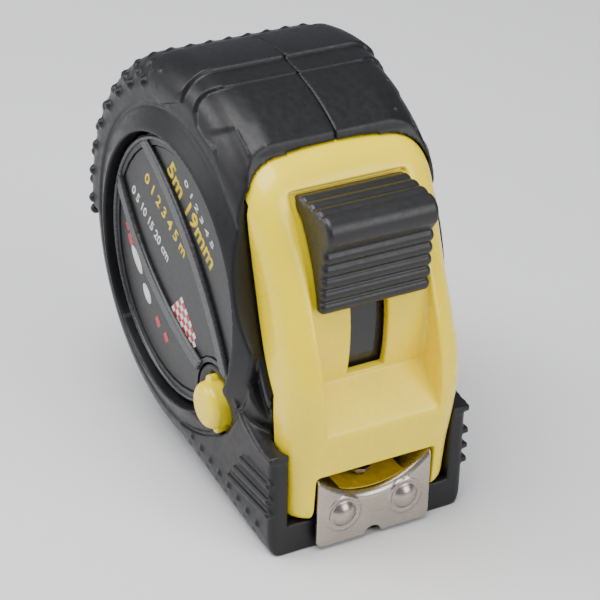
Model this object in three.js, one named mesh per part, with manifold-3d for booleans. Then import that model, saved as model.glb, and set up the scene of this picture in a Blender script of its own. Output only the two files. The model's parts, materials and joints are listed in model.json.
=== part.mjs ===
// A pocket tape measure, 5 m long with a 19 mm blade: a round case in a black rubber jacket, with a yellow
// front bezel that carries the thumb lock and the mouth.
// Millimetres. +X points out of the mouth, +Z up, and the label is on the -Y side. The origin lies on the flat
// base, straight below the spindle.
import * as THREE from "three";
import { mergeVertices } from "three/addons/utils/BufferGeometryUtils.js";
import Module from "manifold-3d";

const wasm = await Module();
wasm.setup();

// ---- driving dimensions ----
const BLADE_WIDTH = 19;
const BLADE_THICKNESS = 0.2;
const BLADE_CROWN = 3.4; // how far the blade's edges stand above its middle
const CHAMBER_RADIUS = 27.2; // the room that the spool turns in
const COIL_GAP = 4.9; // between the coiled blade and the chamber's wall
const COIL_DEPTH = 4.9; // of the 5 m of blade, 0.12 mm thick, wound on the drum
const CASE_WALL = 1.7;
const CASE_SIDE_WALL = 2.2;
const JACKET_WALL = 2.5; // rubber around the case's rim
const JACKET_SIDE_WALL = 3.2;
const JACKET_EDGE = 7; // rounding between the jacket's rim and its sides
const RAISED_EDGE = 5.5; // the same, where the rubber is raised
const GRIP_RISE = 0.6; // the studded grip at the back, above the plain rubber
const HOOD_RISE = 0.6; // the panel between the pad and the bezel
const PAD_RISE = 0.9; // the raised pad on top
const PAD_DEG = [83.5, 100]; // angles about the spindle, from +X upwards
const HOOD_DEG = [50, 80];
const GRIP_DEG = [101, 188];
const BASE_RISE = 0.2; // the grip's circle above the flat base
const BEZEL_FLOOR = 1.5; // the bezel's curved wall that the lock slides on
const BEZEL_LIP = 2; // the bezel is wider than the case by this on each side
const BEZEL_REACH = 5; // from that curved wall to the foremost point of the uprights
const CLEARANCE = 0.3; // between pieces that touch or slide

// ---- sizes that follow from those ----
const CASE_RADIUS = CHAMBER_RADIUS + CASE_WALL;
const JACKET_RADIUS = CASE_RADIUS + JACKET_WALL;
const GRIP_RADIUS = JACKET_RADIUS + GRIP_RISE;
const HOOD_RADIUS = JACKET_RADIUS + HOOD_RISE;
const PAD_RADIUS = JACKET_RADIUS + PAD_RISE;
const SPINDLE_Z = GRIP_RADIUS + BASE_RISE; // height of the spool's axis above the base
const CASE_BOTTOM_Z = SPINDLE_Z - CASE_RADIUS;
const COIL_RADIUS = CHAMBER_RADIUS - COIL_GAP;
const BLADE_LOW_Z = SPINDLE_Z - COIL_RADIUS - BLADE_THICKNESS - 1.5; // the blade's middle at the mouth
const BLADE_HALF_WIDTH = BLADE_WIDTH / 2;
const CHAMBER_HALF_WIDTH = BLADE_HALF_WIDTH + 1.3;
const CASE_HALF_WIDTH = CHAMBER_HALF_WIDTH + CASE_SIDE_WALL;
const JACKET_HALF_WIDTH = CASE_HALF_WIDTH + JACKET_SIDE_WALL;
const BEZEL_HALF_WIDTH = CASE_HALF_WIDTH + BEZEL_LIP; // at the bezel's widest
const PARTING_Y = 0.5; // the halves meet just beside the middle, so the right half holds the base's centre
const MOUTH_HALF_WIDTH = BLADE_HALF_WIDTH + 0.4;
const MOUTH_TOP_Z = BLADE_LOW_Z + BLADE_CROWN + BLADE_THICKNESS + 1;

// ---- the bezel, the lock and the mouth ----
const RAIL_WIDTH = 5.5; // each upright beside the lock
const POCKET_HALF_WIDTH = BEZEL_HALF_WIDTH - RAIL_WIDTH;
const BEZEL_CHAMBER_RADIUS = CHAMBER_RADIUS + 0.8;
const FLOOR_RADIUS = BEZEL_CHAMBER_RADIUS + BEZEL_FLOOR;
const FRONT_X = FLOOR_RADIUS + BEZEL_REACH;
const EDGE_ARC_RADIUS = 44.4; // the bezel's rear edge, an arc struck from in front of the case
const EDGE_ARC_X = FRONT_X + EDGE_ARC_RADIUS - 14.9;
const EDGE_ARC_Z = SPINDLE_Z + 17.8;
const EDGE_LOW_DEG = -15; // where the rear edge turns down into the uprights' feet
const POCKET_TOP_DEG = 46.3; // angles about the spindle, from +X upwards
const SILL_BACK_DEG = -12.9;
const SILL_DROP = 11.5; // the sill's front edge is this far below the spindle
const SLOT_HALF_WIDTH = 3;
const SLOT_DEG = [-12, 37];
const LEG_BACK_X = FRONT_X - 7.2;
const BOOT_FRONT_X = FRONT_X - 3.1;
const BOOT_WALL = 1.9;
const CASE_FRONT_X = BOOT_FRONT_X - BOOT_WALL - CLEARANCE; // foot of the case, behind the boot's front wall

// ---- the sides ----
const RING_INNER_RADIUS = 20.9; // the jacket's raised ring, a low cone
const RING_WIDTH = 3.3;
const RING_HEIGHT = 1.6;
const DISC_RADIUS = RING_INNER_RADIUS - 0.5; // the case's disc shows through the ring
const DISC_Y = JACKET_HALF_WIDTH - 0.2;
const BUTTON_RADIUS = 3.6;
const BUTTON_DEG = -47.9; // the button is on the ring's inner edge
const SEAT_RADIUS = BUTTON_RADIUS + 2.3; // a round of rubber about the button
const BUTTON_HEIGHT = 2.5; // above the jacket's side
const BUTTON_TRAVEL = 1.8;
const CLIP_WIDTH = 14;
const CLIP_THICKNESS = 1;
const CLIP_GAP = 4.7; // between the clip's two leaves, for a belt
const SCREW_RADIUS = 1.2;
const SCREW_HEAD_RADIUS = 2.3;
const SCREW_CIRCLE_RADIUS = CASE_RADIUS - 2.6;
const SCREW_DEGS = [68, 150, 232];

const rad = THREE.MathUtils.degToRad;

// ---- materials ----
const plastic = (color, roughness) => new THREE.MeshStandardMaterial({ color, roughness, metalness: 0 });
const metal = (color, roughness) => new THREE.MeshStandardMaterial({ color, roughness, metalness: 1 });
const YELLOW = plastic(0xf6d62a, 0.35);
const BLACK_PLASTIC = plastic(0x1b1a1c, 0.4);
const GLOSS_BLACK = plastic(0x0d0c0e, 0.15);
const RUBBER = plastic(0x2c2c2f, 0.65);
const GREY_PLASTIC = plastic(0x8d8f92, 0.5);
const STEEL = metal(0xa9a29b, 0.3);
const DARK_STEEL = metal(0x5a5c60, 0.35);
const BLADE_PAINT = plastic(0xf2cf1f, 0.3);
const LABEL_PRINT = plastic(0x101012, 0.3);

// ---- helpers: three.js geometry to closed solids, and back ----
function solid(geometry) {
  const bare = geometry.index ? geometry.toNonIndexed() : geometry.clone();
  bare.deleteAttribute("normal");
  bare.deleteAttribute("uv");
  const merged = mergeVertices(bare, 1e-4);
  const made = new wasm.Manifold(
    new wasm.Mesh({
      numProp: 3,
      vertProperties: merged.attributes.position.array,
      triVerts: new Uint32Array(merged.index.array),
    }),
  );
  return made;
}

function geometryOf(made) {
  const found = made.getMesh();
  const positions = new Float32Array(found.numVert * 3);
  for (let i = 0; i < found.numVert; i++)
    positions.set(found.vertProperties.subarray(i * found.numProp, i * found.numProp + 3), i * 3);
  const geometry = new THREE.BufferGeometry();
  geometry.setAttribute("position", new THREE.BufferAttribute(positions, 3));
  geometry.setIndex(new THREE.BufferAttribute(found.triVerts, 1));
  geometry.computeVertexNormals();
  return geometry;
}

// A shape drawn in X and Z, extruded from y0 to y1. A bevel rounds both ends within that length and outline.
function prism(shape, y0, y1, bevel = 0, curveSegments = 12) {
  const geometry = new THREE.ExtrudeGeometry(shape, {
    depth: y1 - y0 - 2 * bevel,
    bevelEnabled: bevel > 0,
    bevelThickness: bevel,
    bevelSize: bevel,
    bevelOffset: -bevel,
    bevelSegments: 4,
    curveSegments,
  });
  return solid(geometry.rotateX(Math.PI / 2).translate(0, y1 - bevel, 0));
}

// A shape drawn in Y and Z, extruded from x0 to x1.
function prismAlongX(shape, x0, x1, curveSegments = 12) {
  const geometry = new THREE.ExtrudeGeometry(shape, { depth: x1 - x0, bevelEnabled: false, curveSegments });
  const turn = new THREE.Matrix4().makeBasis(
    new THREE.Vector3(0, 1, 0),
    new THREE.Vector3(0, 0, 1),
    new THREE.Vector3(1, 0, 0),
  );
  return solid(geometry.applyMatrix4(turn).translate(x0, 0, 0));
}

// A profile of [radius, y] pairs turned about the line through [x, z] along Y.
function turned(profile, [x, z] = [0, SPINDLE_Z], segments = 32) {
  const ring = (points) => solid(new THREE.LatheGeometry(points, segments).translate(x, 0, z));
  const points = profile.map(([r, y]) => new THREE.Vector2(r, y));
  const made = ring(points);
  return made.volume() > 0 ? made : ring(points.reverse());
}

// A disc about the spindle whose rim is rounded on both sides.
function roundedDisc(radius, halfWidth, edge, segments = 56) {
  const corner = (turn) => [radius - edge * (1 - Math.cos(turn)), halfWidth - edge * (1 - Math.sin(turn))];
  const rim = [90, 60, 30, 0].map((deg) => corner(rad(deg)));
  const profile = [[0, halfWidth], ...rim, ...rim.map(([r, y]) => [r, -y]).reverse(), [0, -halfWidth]];
  return turned(profile, undefined, segments);
}

const cylinder = (radius, y0, y1, at, segments) =>
  turned([[0, y0], [radius, y0], [radius, y1], [0, y1]], at, segments);

const tube = (inner, outer, y0, y1, at, segments) =>
  turned([[inner, y0], [outer, y0], [outer, y1], [inner, y1], [inner, y0]], at, segments);

function box([x0, x1], [y0, y1], [z0, z1]) {
  const geometry = new THREE.BoxGeometry(x1 - x0, y1 - y0, z1 - z0);
  return solid(geometry.translate((x0 + x1) / 2, (y0 + y1) / 2, (z0 + z1) / 2));
}

const polygon = (points) => new THREE.Shape(points.map(([a, b]) => new THREE.Vector2(a, b)));

// A point at a radius and an angle about the spindle.
const polar = (radius, deg) => [radius * Math.cos(rad(deg)), SPINDLE_Z + radius * Math.sin(rad(deg))];

function arcPoints(radius, fromDeg, toDeg, steps) {
  return Array.from({ length: steps + 1 }, (_, i) => polar(radius, fromDeg + ((toDeg - fromDeg) * i) / steps));
}

const sector = (inner, outer, fromDeg, toDeg, steps = 12) =>
  polygon([...arcPoints(outer, fromDeg, toDeg, steps), ...arcPoints(inner, toDeg, fromDeg, steps)]);

const both = (make) => [make(-1), make(1)];
const union = (...parts) => parts.flat().reduce((whole, part) => whole.add(part));

// ---- outlines in X and Z ----
const BUTTON_AT = polar(RING_INNER_RADIUS - 0.15, BUTTON_DEG);
const NECK_Z = polar(FLOOR_RADIUS, EDGE_LOW_DEG)[1];
const edgeX = (z, grow = 0) => EDGE_ARC_X - Math.sqrt((EDGE_ARC_RADIUS - grow) ** 2 - (z - EDGE_ARC_Z) ** 2);

// Points down the bezel's rear edge from z0 to z1.
const edgePoints = (z0, z1, grow = 0, steps = 10) =>
  Array.from({ length: steps + 1 }, (_, i) => z0 + ((z1 - z0) * i) / steps).map((z) => [edgeX(z, grow), z]);

// The case behind the bezel: round at the back, with a foot that runs forward under the mouth.
function caseOutline(grow = 0) {
  const radius = CASE_RADIUS + grow;
  const topDeg = 57; // under the bezel's top edge
  return polygon([
    ...arcPoints(radius, topDeg, 270, 30),
    [CASE_FRONT_X + grow, CASE_BOTTOM_Z - grow],
    [CASE_FRONT_X + grow, LEG_BOTTOM_Z - CLEARANCE + grow],
    [LEG_BACK_X - CLEARANCE + grow, LEG_BOTTOM_Z - CLEARANCE + grow],
    ...edgePoints(NECK_Z, SPINDLE_Z + 21, grow - CLEARANCE, 6),
  ]);
}

// ---- the case halves ----
const CHANNEL_Z = [BLADE_LOW_Z - 1.2, MOUTH_TOP_Z];
const LABEL_WINDOW_DEPTH = 0.5;
const LABEL_TILT_DEG = -45;

// The space that the spool, the blade and the lock's tongue move in, cut from the case and the bezel alike.
function innerSpace(chamberRadius) {
  const halfRoom = TONGUE_HALF_WIDTH + 0.5;
  const inner = BEZEL_CHAMBER_RADIUS - 4;
  const room = (radius, toDeg) => prism(sector(inner, radius, -62, toDeg, 10), -halfRoom, halfRoom);
  return union(
    cylinder(chamberRadius, -CHAMBER_HALF_WIDTH, CHAMBER_HALF_WIDTH, undefined, 40),
    box([8, FRONT_X + 6], [-MOUTH_HALF_WIDTH, MOUTH_HALF_WIDTH], CHANNEL_Z),
    room(BEZEL_CHAMBER_RADIUS, 0),
    room(BRAKE_RADIUS + CLEARANCE, TONGUE_DEG[0] + 10),
  );
}

const screwPlaces = () => [
  ...SCREW_DEGS.map((deg) => polar(SCREW_CIRCLE_RADIUS, deg)),
  [CASE_FRONT_X - 4.9, CASE_BOTTOM_Z + SCREW_RADIUS + 1],
];

function caseHalf(side) {
  const inner = PARTING_Y + (side * CLEARANCE) / 3;
  const ys = side < 0 ? [-CASE_HALF_WIDTH, inner] : [inner, CASE_HALF_WIDTH];
  const deep = (at) => (side < 0 ? [at, inner] : [inner, at]);
  const shell = prism(caseOutline(), ...ys);
  const discYs = [side * (CASE_HALF_WIDTH - 1), side * DISC_Y].sort((a, b) => a - b);
  const disc = cylinder(DISC_RADIUS, ...discYs);
  const boss = (at) => cylinder(SCREW_RADIUS + 1.1, ...deep(side * (CHAMBER_HALF_WIDTH + 1)), at, 10);
  const bosses = screwPlaces().slice(0, SCREW_DEGS.length).map(boss);
  const lipYs = deep(side * (MOUTH_HALF_WIDTH - CLEARANCE));
  const lip = box([FRONT_X - 13, CASE_FRONT_X], lipYs, [CASE_BOTTOM_Z, CHANNEL_Z[0]]);
  let made = shell.add(disc).subtract(innerSpace(CHAMBER_RADIUS)).subtract(bezelEnvelope(CLEARANCE));
  made = union(made, bosses, lip);
  made = made.subtract(box([0, FRONT_X + 6], deep(side * MOUTH_HALF_WIDTH), CHANNEL_Z));
  const far = CASE_HALF_WIDTH + 1;
  for (const at of screwPlaces()) {
    made = made.subtract(cylinder(SCREW_RADIUS + 0.1, -far, far, at, 10));
    if (side > 0) made = made.subtract(cylinder(SCREW_HEAD_RADIUS + 0.2, CASE_HALF_WIDTH - 1.55, far, at, 12));
  }
  made = made.subtract(cylinder(POST_RADIUS + 0.1, -CASE_HALF_WIDTH, CASE_HALF_WIDTH, undefined, 20));
  const clipHole = cylinder(1.6, CHAMBER_HALF_WIDTH - 1, DISC_Y + 1, undefined, 12);
  return made.subtract(side < 0 ? labelSide() : clipHole);
}

// Three windows are sunk in the disc's face, with two curved ribs between them. The ribs' middle lines are given
// in the label's own axes, tilted down to the front: height across the disc at each distance along it.
const LABEL_RIBS = [(along) => -8.9 + 0.0125 * (along + 8.5) ** 2, (along) => 8.2 - 0.0085 * (along + 0.5) ** 2];
const RIB_WIDTH = 2.2;
const LABEL_MARGIN = 1.6; // between the windows and the disc's edge

function labelWindow(index, shrink, y0, y1) {
  const reach = DISC_RADIUS - LABEL_MARGIN - shrink;
  const [steps, far] = [16, DISC_RADIUS - 1];
  const gap = RIB_WIDTH / 2 + shrink;
  const stations = Array.from({ length: steps + 1 }, (_, i) => -far + (2 * far * i) / steps);
  const edge = (height) => stations.map((along) => [along, height(along)]);
  const low = index === 0 ? () => -DISC_RADIUS : (along) => LABEL_RIBS[index - 1](along) + gap;
  const high = index === 2 ? () => DISC_RADIUS : (along) => LABEL_RIBS[index](along) - gap;
  const turn = rad(LABEL_TILT_DEG);
  const outline = [...edge(low), ...edge(high).reverse()].map(([a, b]) => [
    a * Math.cos(turn) - b * Math.sin(turn),
    SPINDLE_Z + a * Math.sin(turn) + b * Math.cos(turn),
  ]);
  return prism(polygon(outline), y0, y1).intersect(cylinder(reach, y0, y1, undefined, 40));
}

function labelSide() {
  const windows = [0, 1, 2].map((i) => labelWindow(i, 0, -DISC_Y - 1, -DISC_Y + LABEL_WINDOW_DEPTH));
  const around = cylinder(SEAT_RADIUS + 1, -DISC_Y - 2, -DISC_Y + 1, BUTTON_AT, 24);
  const well = cylinder(SEAT_RADIUS + CLEARANCE, -DISC_Y - 1, -JACKET_HALF_WIDTH + 2, BUTTON_AT, 24);
  return union(union(windows).subtract(around), well, buttonHole());
}

const buttonHole = () =>
  union(
    cylinder(BUTTON_RADIUS + 0.3, -DISC_Y - 2, -CHAMBER_HALF_WIDTH - 0.9, BUTTON_AT, 24),
    cylinder(PLUNGER_RADIUS + 0.3, -DISC_Y, -CHAMBER_HALF_WIDTH + 1, BUTTON_AT, 20),
    buttonKeys(0.3),
  );

// ---- the rubber jacket ----

// The lower front corner: its upper rim sweeps down to the front in a hollow curve.
function bootOutline() {
  const rimZ = SPINDLE_Z - 15;
  const rim = new THREE.QuadraticBezierCurve(
    new THREE.Vector2(BOOT_FRONT_X, rimZ),
    new THREE.Vector2(BOOT_FRONT_X - 6.4, rimZ - 1.2),
    new THREE.Vector2(BOOT_FRONT_X - 12.9, rimZ + 6.3),
  );
  return polygon([
    [4, 0.6],
    [6, 0],
    [BOOT_FRONT_X - 1.5, 0],
    [BOOT_FRONT_X, 1.5],
    ...rim.getPoints(8).map((p) => [p.x, p.y]),
    [BOOT_FRONT_X - 19.4, rimZ + 6.8],
    [2, rimZ - 3.2],
  ]);
}

// The flat base, and the block above it that carries the boot.
const footOutline = () =>
  polygon([
    [-3, 0],
    [BOOT_FRONT_X - 0.5, 0],
    [BOOT_FRONT_X - 0.5, SPINDLE_Z - 18.2],
    [BOOT_FRONT_X - 7.4, SPINDLE_Z - 18.2],
    [12, SPINDLE_Z - 10.2],
    [-8, SPINDLE_Z - 10.2],
    [-12, 3.6],
  ]);

const RING_OUTER_RADIUS = RING_INNER_RADIUS + RING_WIDTH;
const RING_PROFILE = [
  [RING_OUTER_RADIUS + 1.5, JACKET_HALF_WIDTH - 2],
  [RING_OUTER_RADIUS, JACKET_HALF_WIDTH],
  [RING_INNER_RADIUS + 0.4, JACKET_HALF_WIDTH + RING_HEIGHT],
  [RING_INNER_RADIUS, JACKET_HALF_WIDTH + RING_HEIGHT],
  [RING_INNER_RADIUS, JACKET_HALF_WIDTH - 2],
  [RING_OUTER_RADIUS + 1.5, JACKET_HALF_WIDTH - 2],
];

// Everything in front of the bezel's rear edge and above the boot, where the jacket leaves the case bare.
function frontGap() {
  const [lowZ, highZ] = [SPINDLE_Z - 13.2, SPINDLE_Z + 17.8];
  return polygon([
    [FRONT_X + 6, lowZ],
    ...edgePoints(lowZ, highZ, CLEARANCE).filter(([x]) => x < BOOT_FRONT_X + 2),
    [FRONT_X - 14.9, SPINDLE_Z + 21.3],
    [FRONT_X - 16.7, SPINDLE_Z + 24.9],
    [FRONT_X - 17.3, SPINDLE_Z + 26.5],
    [FRONT_X - 17.3, SPINDLE_Z + 29.8],
    [FRONT_X + 6, SPINDLE_Z + 35.8],
  ]);
}

// The recess beside the bezel, between the hood above and the boot below.
const sideRecess = () =>
  polygon([
    [FRONT_X, SPINDLE_Z - 16.2],
    [FRONT_X - 13, SPINDLE_Z - 7.7],
    ...arcPoints(RING_OUTER_RADIUS + 0.5, -14, 36, 8),
    [FRONT_X - 12.5, SPINDLE_Z + 14.8],
    [FRONT_X, SPINDLE_Z + 14.8],
  ]);

function jacketHalf(side) {
  const inner = PARTING_Y + (side * CLEARANCE) / 3;
  const keep = side < 0 ? [-2 * JACKET_HALF_WIDTH, inner] : [inner, 2 * JACKET_HALF_WIDTH];
  const width = JACKET_HALF_WIDTH;
  const body = roundedDisc(JACKET_RADIUS, width, JACKET_EDGE);
  const out = width + 4; // past the jacket's sides
  const raised = (radius, from, to) =>
    roundedDisc(radius, width, RAISED_EDGE).intersect(
      prism(sector(JACKET_RADIUS - 8, radius + 6, from, to), -out, out),
    );
  const pad = raised(PAD_RADIUS, ...PAD_DEG);
  const grip = raised(GRIP_RADIUS, ...GRIP_DEG);
  const hood = raised(HOOD_RADIUS, ...HOOD_DEG);
  const foot = prism(footOutline(), -width + 4, width - 4, 2);
  const boot = prism(bootOutline(), -width - 0.2, width + 0.2, 1);
  const rings = both((s) => turned(RING_PROFILE.map(([r, y]) => [r, s * y]), undefined, 48));
  const seat = cylinder(SEAT_RADIUS, -DISC_Y, -width + 2, BUTTON_AT, 24);
  let made = union(body, pad, grip, hood, foot, boot, rings, seat);
  const hollow = CASE_HALF_WIDTH + CLEARANCE;
  made = made.subtract(prism(caseOutline(CLEARANCE), -hollow, hollow));
  for (const s of [-1, 1]) {
    const [a, b] = [s * (hollow - 1), s * (DISC_Y + 2)].sort((p, q) => p - q);
    made = made.subtract(cylinder(RING_INNER_RADIUS, a, b, undefined, 48).subtract(seat));
    const recess = [s * (BEZEL_HALF_WIDTH - 0.8), s * out].sort((p, q) => p - q);
    made = made.subtract(prism(sideRecess(), ...recess));
  }
  made = made.subtract(buttonHole());
  made = made.subtract(prism(frontGap(), -out, out));
  made = made.subtract(bezelEnvelope(CLEARANCE));
  const between = BEZEL_HALF_WIDTH - 1;
  const betweenLegs = [LEG_BOTTOM_Z - CLEARANCE, SPINDLE_Z + 8];
  made = made.subtract(box([BOOT_FRONT_X - 8, FRONT_X + 6], [-between, between], betweenLegs));
  for (const at of screwPlaces()) {
    made = made.subtract(cylinder(SCREW_HEAD_RADIUS + 0.4, CHAMBER_HALF_WIDTH, out, at, 14));
  }
  const far = 2 * PAD_RADIUS;
  return made.intersect(box([-far, far], keep, [-far, far]));
}

// ---- the yellow bezel ----
// The uprights' front above their feet: [angle about the spindle, distance in front of the curved wall, how much
// narrower than the bezel's widest].
const LEG_BOTTOM_Z = BLADE_LOW_Z - 3;
const UPRIGHTS = [
  [-22.6, 7.4, 1],
  [-14.9, 6.2, 0.7],
  [-7.1, 4.7, 0.7],
  [1.4, 2.8, 0.9],
  [10.9, 1.15, 1],
  [21.3, 0.3, 0.8],
  [31.2, 0.2, 0.4],
  [38.9, 0.45, 0.1],
  [44.7, 0.9, 0.6],
  [49.1, 1.2, 1.8],
  [52.4, 1.3, 3.8],
  [54.4, 1.2, 6],
];
// Front, height and half width at each level.
const BEZEL_PROFILE = [
  [FRONT_X - 1.9, LEG_BOTTOM_Z, BEZEL_HALF_WIDTH - 1.9],
  [FRONT_X - 1.7, LEG_BOTTOM_Z + 1, BEZEL_HALF_WIDTH - 1.5],
  [FRONT_X - 1.3, LEG_BOTTOM_Z + 7.3, BEZEL_HALF_WIDTH - 1.3],
  ...UPRIGHTS.map(([deg, proud, narrower]) => {
    const at = polar(FLOOR_RADIUS + proud, deg);
    return [...at, BEZEL_HALF_WIDTH - narrower];
  }),
];

// Horizontal slices with rounded front corners, skinned into one body.
function bezelEnvelope(grow = 0) {
  const cornerSteps = 6;
  const rings = BEZEL_PROFILE.map(([front, z, half]) => {
    const width = half + grow;
    const x1 = front + grow;
    const back = Math.min(z < NECK_Z ? LEG_BACK_X : edgeX(z), front - 3) - 2 * grow;
    const corner = Math.min(4.6, x1 - back - 1, width - 4);
    const points = [[back, -width]];
    for (let i = 0; i <= cornerSteps; i++) {
      const turn = rad(-90 + (90 * i) / cornerSteps);
      points.push([x1 - corner + corner * Math.cos(turn), -width + corner + corner * Math.sin(turn)]);
    }
    const mirrored = points.map(([x, y]) => [x, -y]).reverse();
    return [...points, ...mirrored].map(([x, y]) => new THREE.Vector3(x, y, z));
  });
  rings[0].forEach((p) => (p.z -= grow));
  rings.at(-1).forEach((p) => (p.z += 2 * grow));
  return skin(rings);
}

// Joins rings of equal length into a closed body with flat ends.
function skin(rings) {
  const count = rings[0].length;
  const positions = rings.flat().flatMap((p) => [p.x, p.y, p.z]);
  const index = [];
  for (let r = 0; r + 1 < rings.length; r++)
    for (let i = 0; i < count; i++) {
      const [a, b] = [r * count + i, r * count + ((i + 1) % count)];
      index.push(a, b, b + count, a, b + count, a + count);
    }
  for (const [ring, flip] of [[0, true], [rings.length - 1, false]]) {
    const flat = rings[ring].map((p) => new THREE.Vector2(p.x, p.y));
    for (const [a, b, c] of THREE.ShapeUtils.triangulateShape(flat, [])) {
      const at = ring * count;
      index.push(at + a, at + (flip ? c : b), at + (flip ? b : c));
    }
  }
  const geometry = new THREE.BufferGeometry();
  geometry.setAttribute("position", new THREE.BufferAttribute(new Float32Array(positions), 3));
  geometry.setIndex(index);
  return solid(geometry);
}

function frontBezel() {
  const sillBack = polar(FLOOR_RADIUS, SILL_BACK_DEG);
  const top = polar(FLOOR_RADIUS, POCKET_TOP_DEG);
  const far = FRONT_X + 10;
  const sillFront = [FRONT_X - 1.1, SPINDLE_Z - SILL_DROP];
  const slope = (sillFront[1] - sillBack[1]) / (sillFront[0] - sillBack[0]);
  const pocket = polygon([
    ...arcPoints(FLOOR_RADIUS, SILL_BACK_DEG, POCKET_TOP_DEG, 16),
    [far, top[1] + 3],
    [far, sillFront[1] + slope * (far - sillFront[0])],
  ]);
  const slot = sector(BEZEL_CHAMBER_RADIUS - 2, FLOOR_RADIUS + 2, ...SLOT_DEG);
  const mouth = box([LEG_BACK_X - 3, far], [-MOUTH_HALF_WIDTH, MOUTH_HALF_WIDTH], [0, MOUTH_TOP_Z]);
  return bezelEnvelope()
    .subtract(prism(pocket, -POCKET_HALF_WIDTH, POCKET_HALF_WIDTH))
    .subtract(prism(slot, -SLOT_HALF_WIDTH, SLOT_HALF_WIDTH))
    .subtract(mouth)
    .subtract(innerSpace(BEZEL_CHAMBER_RADIUS));
}

// ---- the thumb lock ----
const TONGUE_HALF_WIDTH = 4.2;
const LOCK_BASE_RADIUS = FLOOR_RADIUS + CLEARANCE;
const LOCK_DEG = [10.5, 43];
const TONGUE_RADII = [CHAMBER_RADIUS - 0.3, CHAMBER_RADIUS + 0.5];
const TONGUE_DEG = [-35, 40];
const BRAKE_RADIUS = TONGUE_RADII[1] + 1.1;
const THUMB_CORNER = [FRONT_X - 2, SPINDLE_Z + 19.2]; // where the lock's top shelf turns down into its front

// A row of shallow ribs from one point to another, raised to the left of that direction.
function ribs([x0, z0], [x1, z1], count, height) {
  const length = Math.hypot(x1 - x0, z1 - z0);
  const [nx, nz] = [-(z1 - z0) / length, (x1 - x0) / length];
  const shape = [[0.12, 0], [0.3, 1], [0.62, 1], [0.9, 0]]; // one rib: its share of the pitch and of the height
  return Array.from({ length: count }).flatMap((_, i) =>
    shape.map(([share, lift]) => {
      const at = (i + share) / count;
      return [x0 + (x1 - x0) * at + nx * lift * height, z0 + (z1 - z0) * at + nz * lift * height];
    }),
  );
}

function lockSlider() {
  const [cornerX, cornerZ] = THUMB_CORNER;
  const shelfBack = polar(LOCK_BASE_RADIUS + 1, LOCK_DEG[1]);
  const toe = polar(LOCK_BASE_RADIUS + 0.9, LOCK_DEG[0] + 0.5);
  const half = POCKET_HALF_WIDTH - 2 * CLEARANCE;
  const outline = polygon([
    ...arcPoints(LOCK_BASE_RADIUS, LOCK_DEG[1], LOCK_DEG[0], 12),
    toe,
    ...ribs(toe, [cornerX - 0.2, cornerZ - 1.2], 5, -0.6),
    [cornerX, cornerZ - 0.4],
    [cornerX - 0.6, cornerZ + 0.3],
    ...ribs([cornerX - 1, cornerZ + 0.4], [shelfBack[0] + 0.6, shelfBack[1] + 0.1], 4, -0.5),
    shelfBack,
  ]);
  const neck = sector(TONGUE_RADII[1] + 0.2, LOCK_BASE_RADIUS + 1, 22, 35, 4);
  const neckHalf = SLOT_HALF_WIDTH - CLEARANCE;
  return prism(outline, -half, half).add(prism(neck, -neckHalf, neckHalf));
}

const lockTongue = () =>
  prism(sector(...TONGUE_RADII, ...TONGUE_DEG, 20), -TONGUE_HALF_WIDTH, TONGUE_HALF_WIDTH);

const brakePad = () => {
  const shape = sector(TONGUE_RADII[1] + 0.05, BRAKE_RADIUS, TONGUE_DEG[0] + 0.5, TONGUE_DEG[0] + 8, 4);
  return prism(shape, -TONGUE_HALF_WIDTH + 0.4, TONGUE_HALF_WIDTH - 0.4);
};

// ---- the blade and its hook ----
const HOOK_X = FRONT_X - 2.3; // back of the hook's plate
const HOOK_THICKNESS = 0.7;
const HOOK_BOTTOM_Z = 0.5;
const HOOK_FLOAT = 0.8; // play that makes up for the hook's own thickness
const TONGUE_THICKNESS = 0.6;
const RIVETS = [[FRONT_X - 6.4, 0], [FRONT_X - 11.4, -3.6], [FRONT_X - 11.4, 3.6]]; // [x, y]
const DOME_AT = [5.2, 5.5]; // [y, z] of the two raised cups in the plate
const crownRadius = ((BLADE_HALF_WIDTH) ** 2 + BLADE_CROWN ** 2) / (2 * BLADE_CROWN);

// Height of a curve that hangs in the middle and rises by share of the blade's crown at its edges.
const sagZ = (y, low, share = 1) => low + share * (crownRadius - Math.sqrt(crownRadius ** 2 - y ** 2));

// A curved strip across Y between two heights, as points in Y and Z.
function stripOutline(halfWidth, low, thickness, share = 1, steps = 12) {
  const ys = Array.from({ length: steps + 1 }, (_, i) => -halfWidth + (2 * halfWidth * i) / steps);
  const lower = ys.map((y) => [y, sagZ(y, low, share)]);
  const upper = ys.map((y) => [y, sagZ(y, low + thickness, share)]).reverse();
  return [...lower, ...upper];
}

// The blade leaves the coil flat and takes its crown on the way to the mouth.
function bladeStrip() {
  const coilLow = SPINDLE_Z - COIL_RADIUS - 0.15 - BLADE_THICKNESS;
  const stations = [[1, 0], [5, 0.2], [9, 0.55], [14, 1], [HOOK_X - 0.3, 1]];
  const rings = stations.map(([x, share]) =>
    stripOutline(BLADE_HALF_WIDTH, coilLow + (BLADE_LOW_Z - coilLow) * share, BLADE_THICKNESS, share).map(
      ([y, z]) => new THREE.Vector3(z, y, x),
    ),
  );
  // skinned along Z with X and Z exchanged, so that its ends are flat, then turned to run along X
  const turn = new THREE.Matrix4().set(0, 0, 1, 0, 0, 1, 0, 0, 1, 0, 0, 0, 0, 0, 0, 1);
  const upright = geometryOf(skin(rings.map((ring) => ring.reverse())));
  const swapped = upright.applyMatrix4(turn);
  const index = swapped.index.array;
  for (let i = 0; i < index.length; i += 3) [index[i + 1], index[i + 2]] = [index[i + 2], index[i + 1]];
  let made = solid(swapped);
  for (const at of RIVETS) made = made.subtract(alongZ(RIVET_RADIUS + 0.1, at, 0, 20));
  return made;
}

const RIVET_RADIUS = 0.9;

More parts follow.
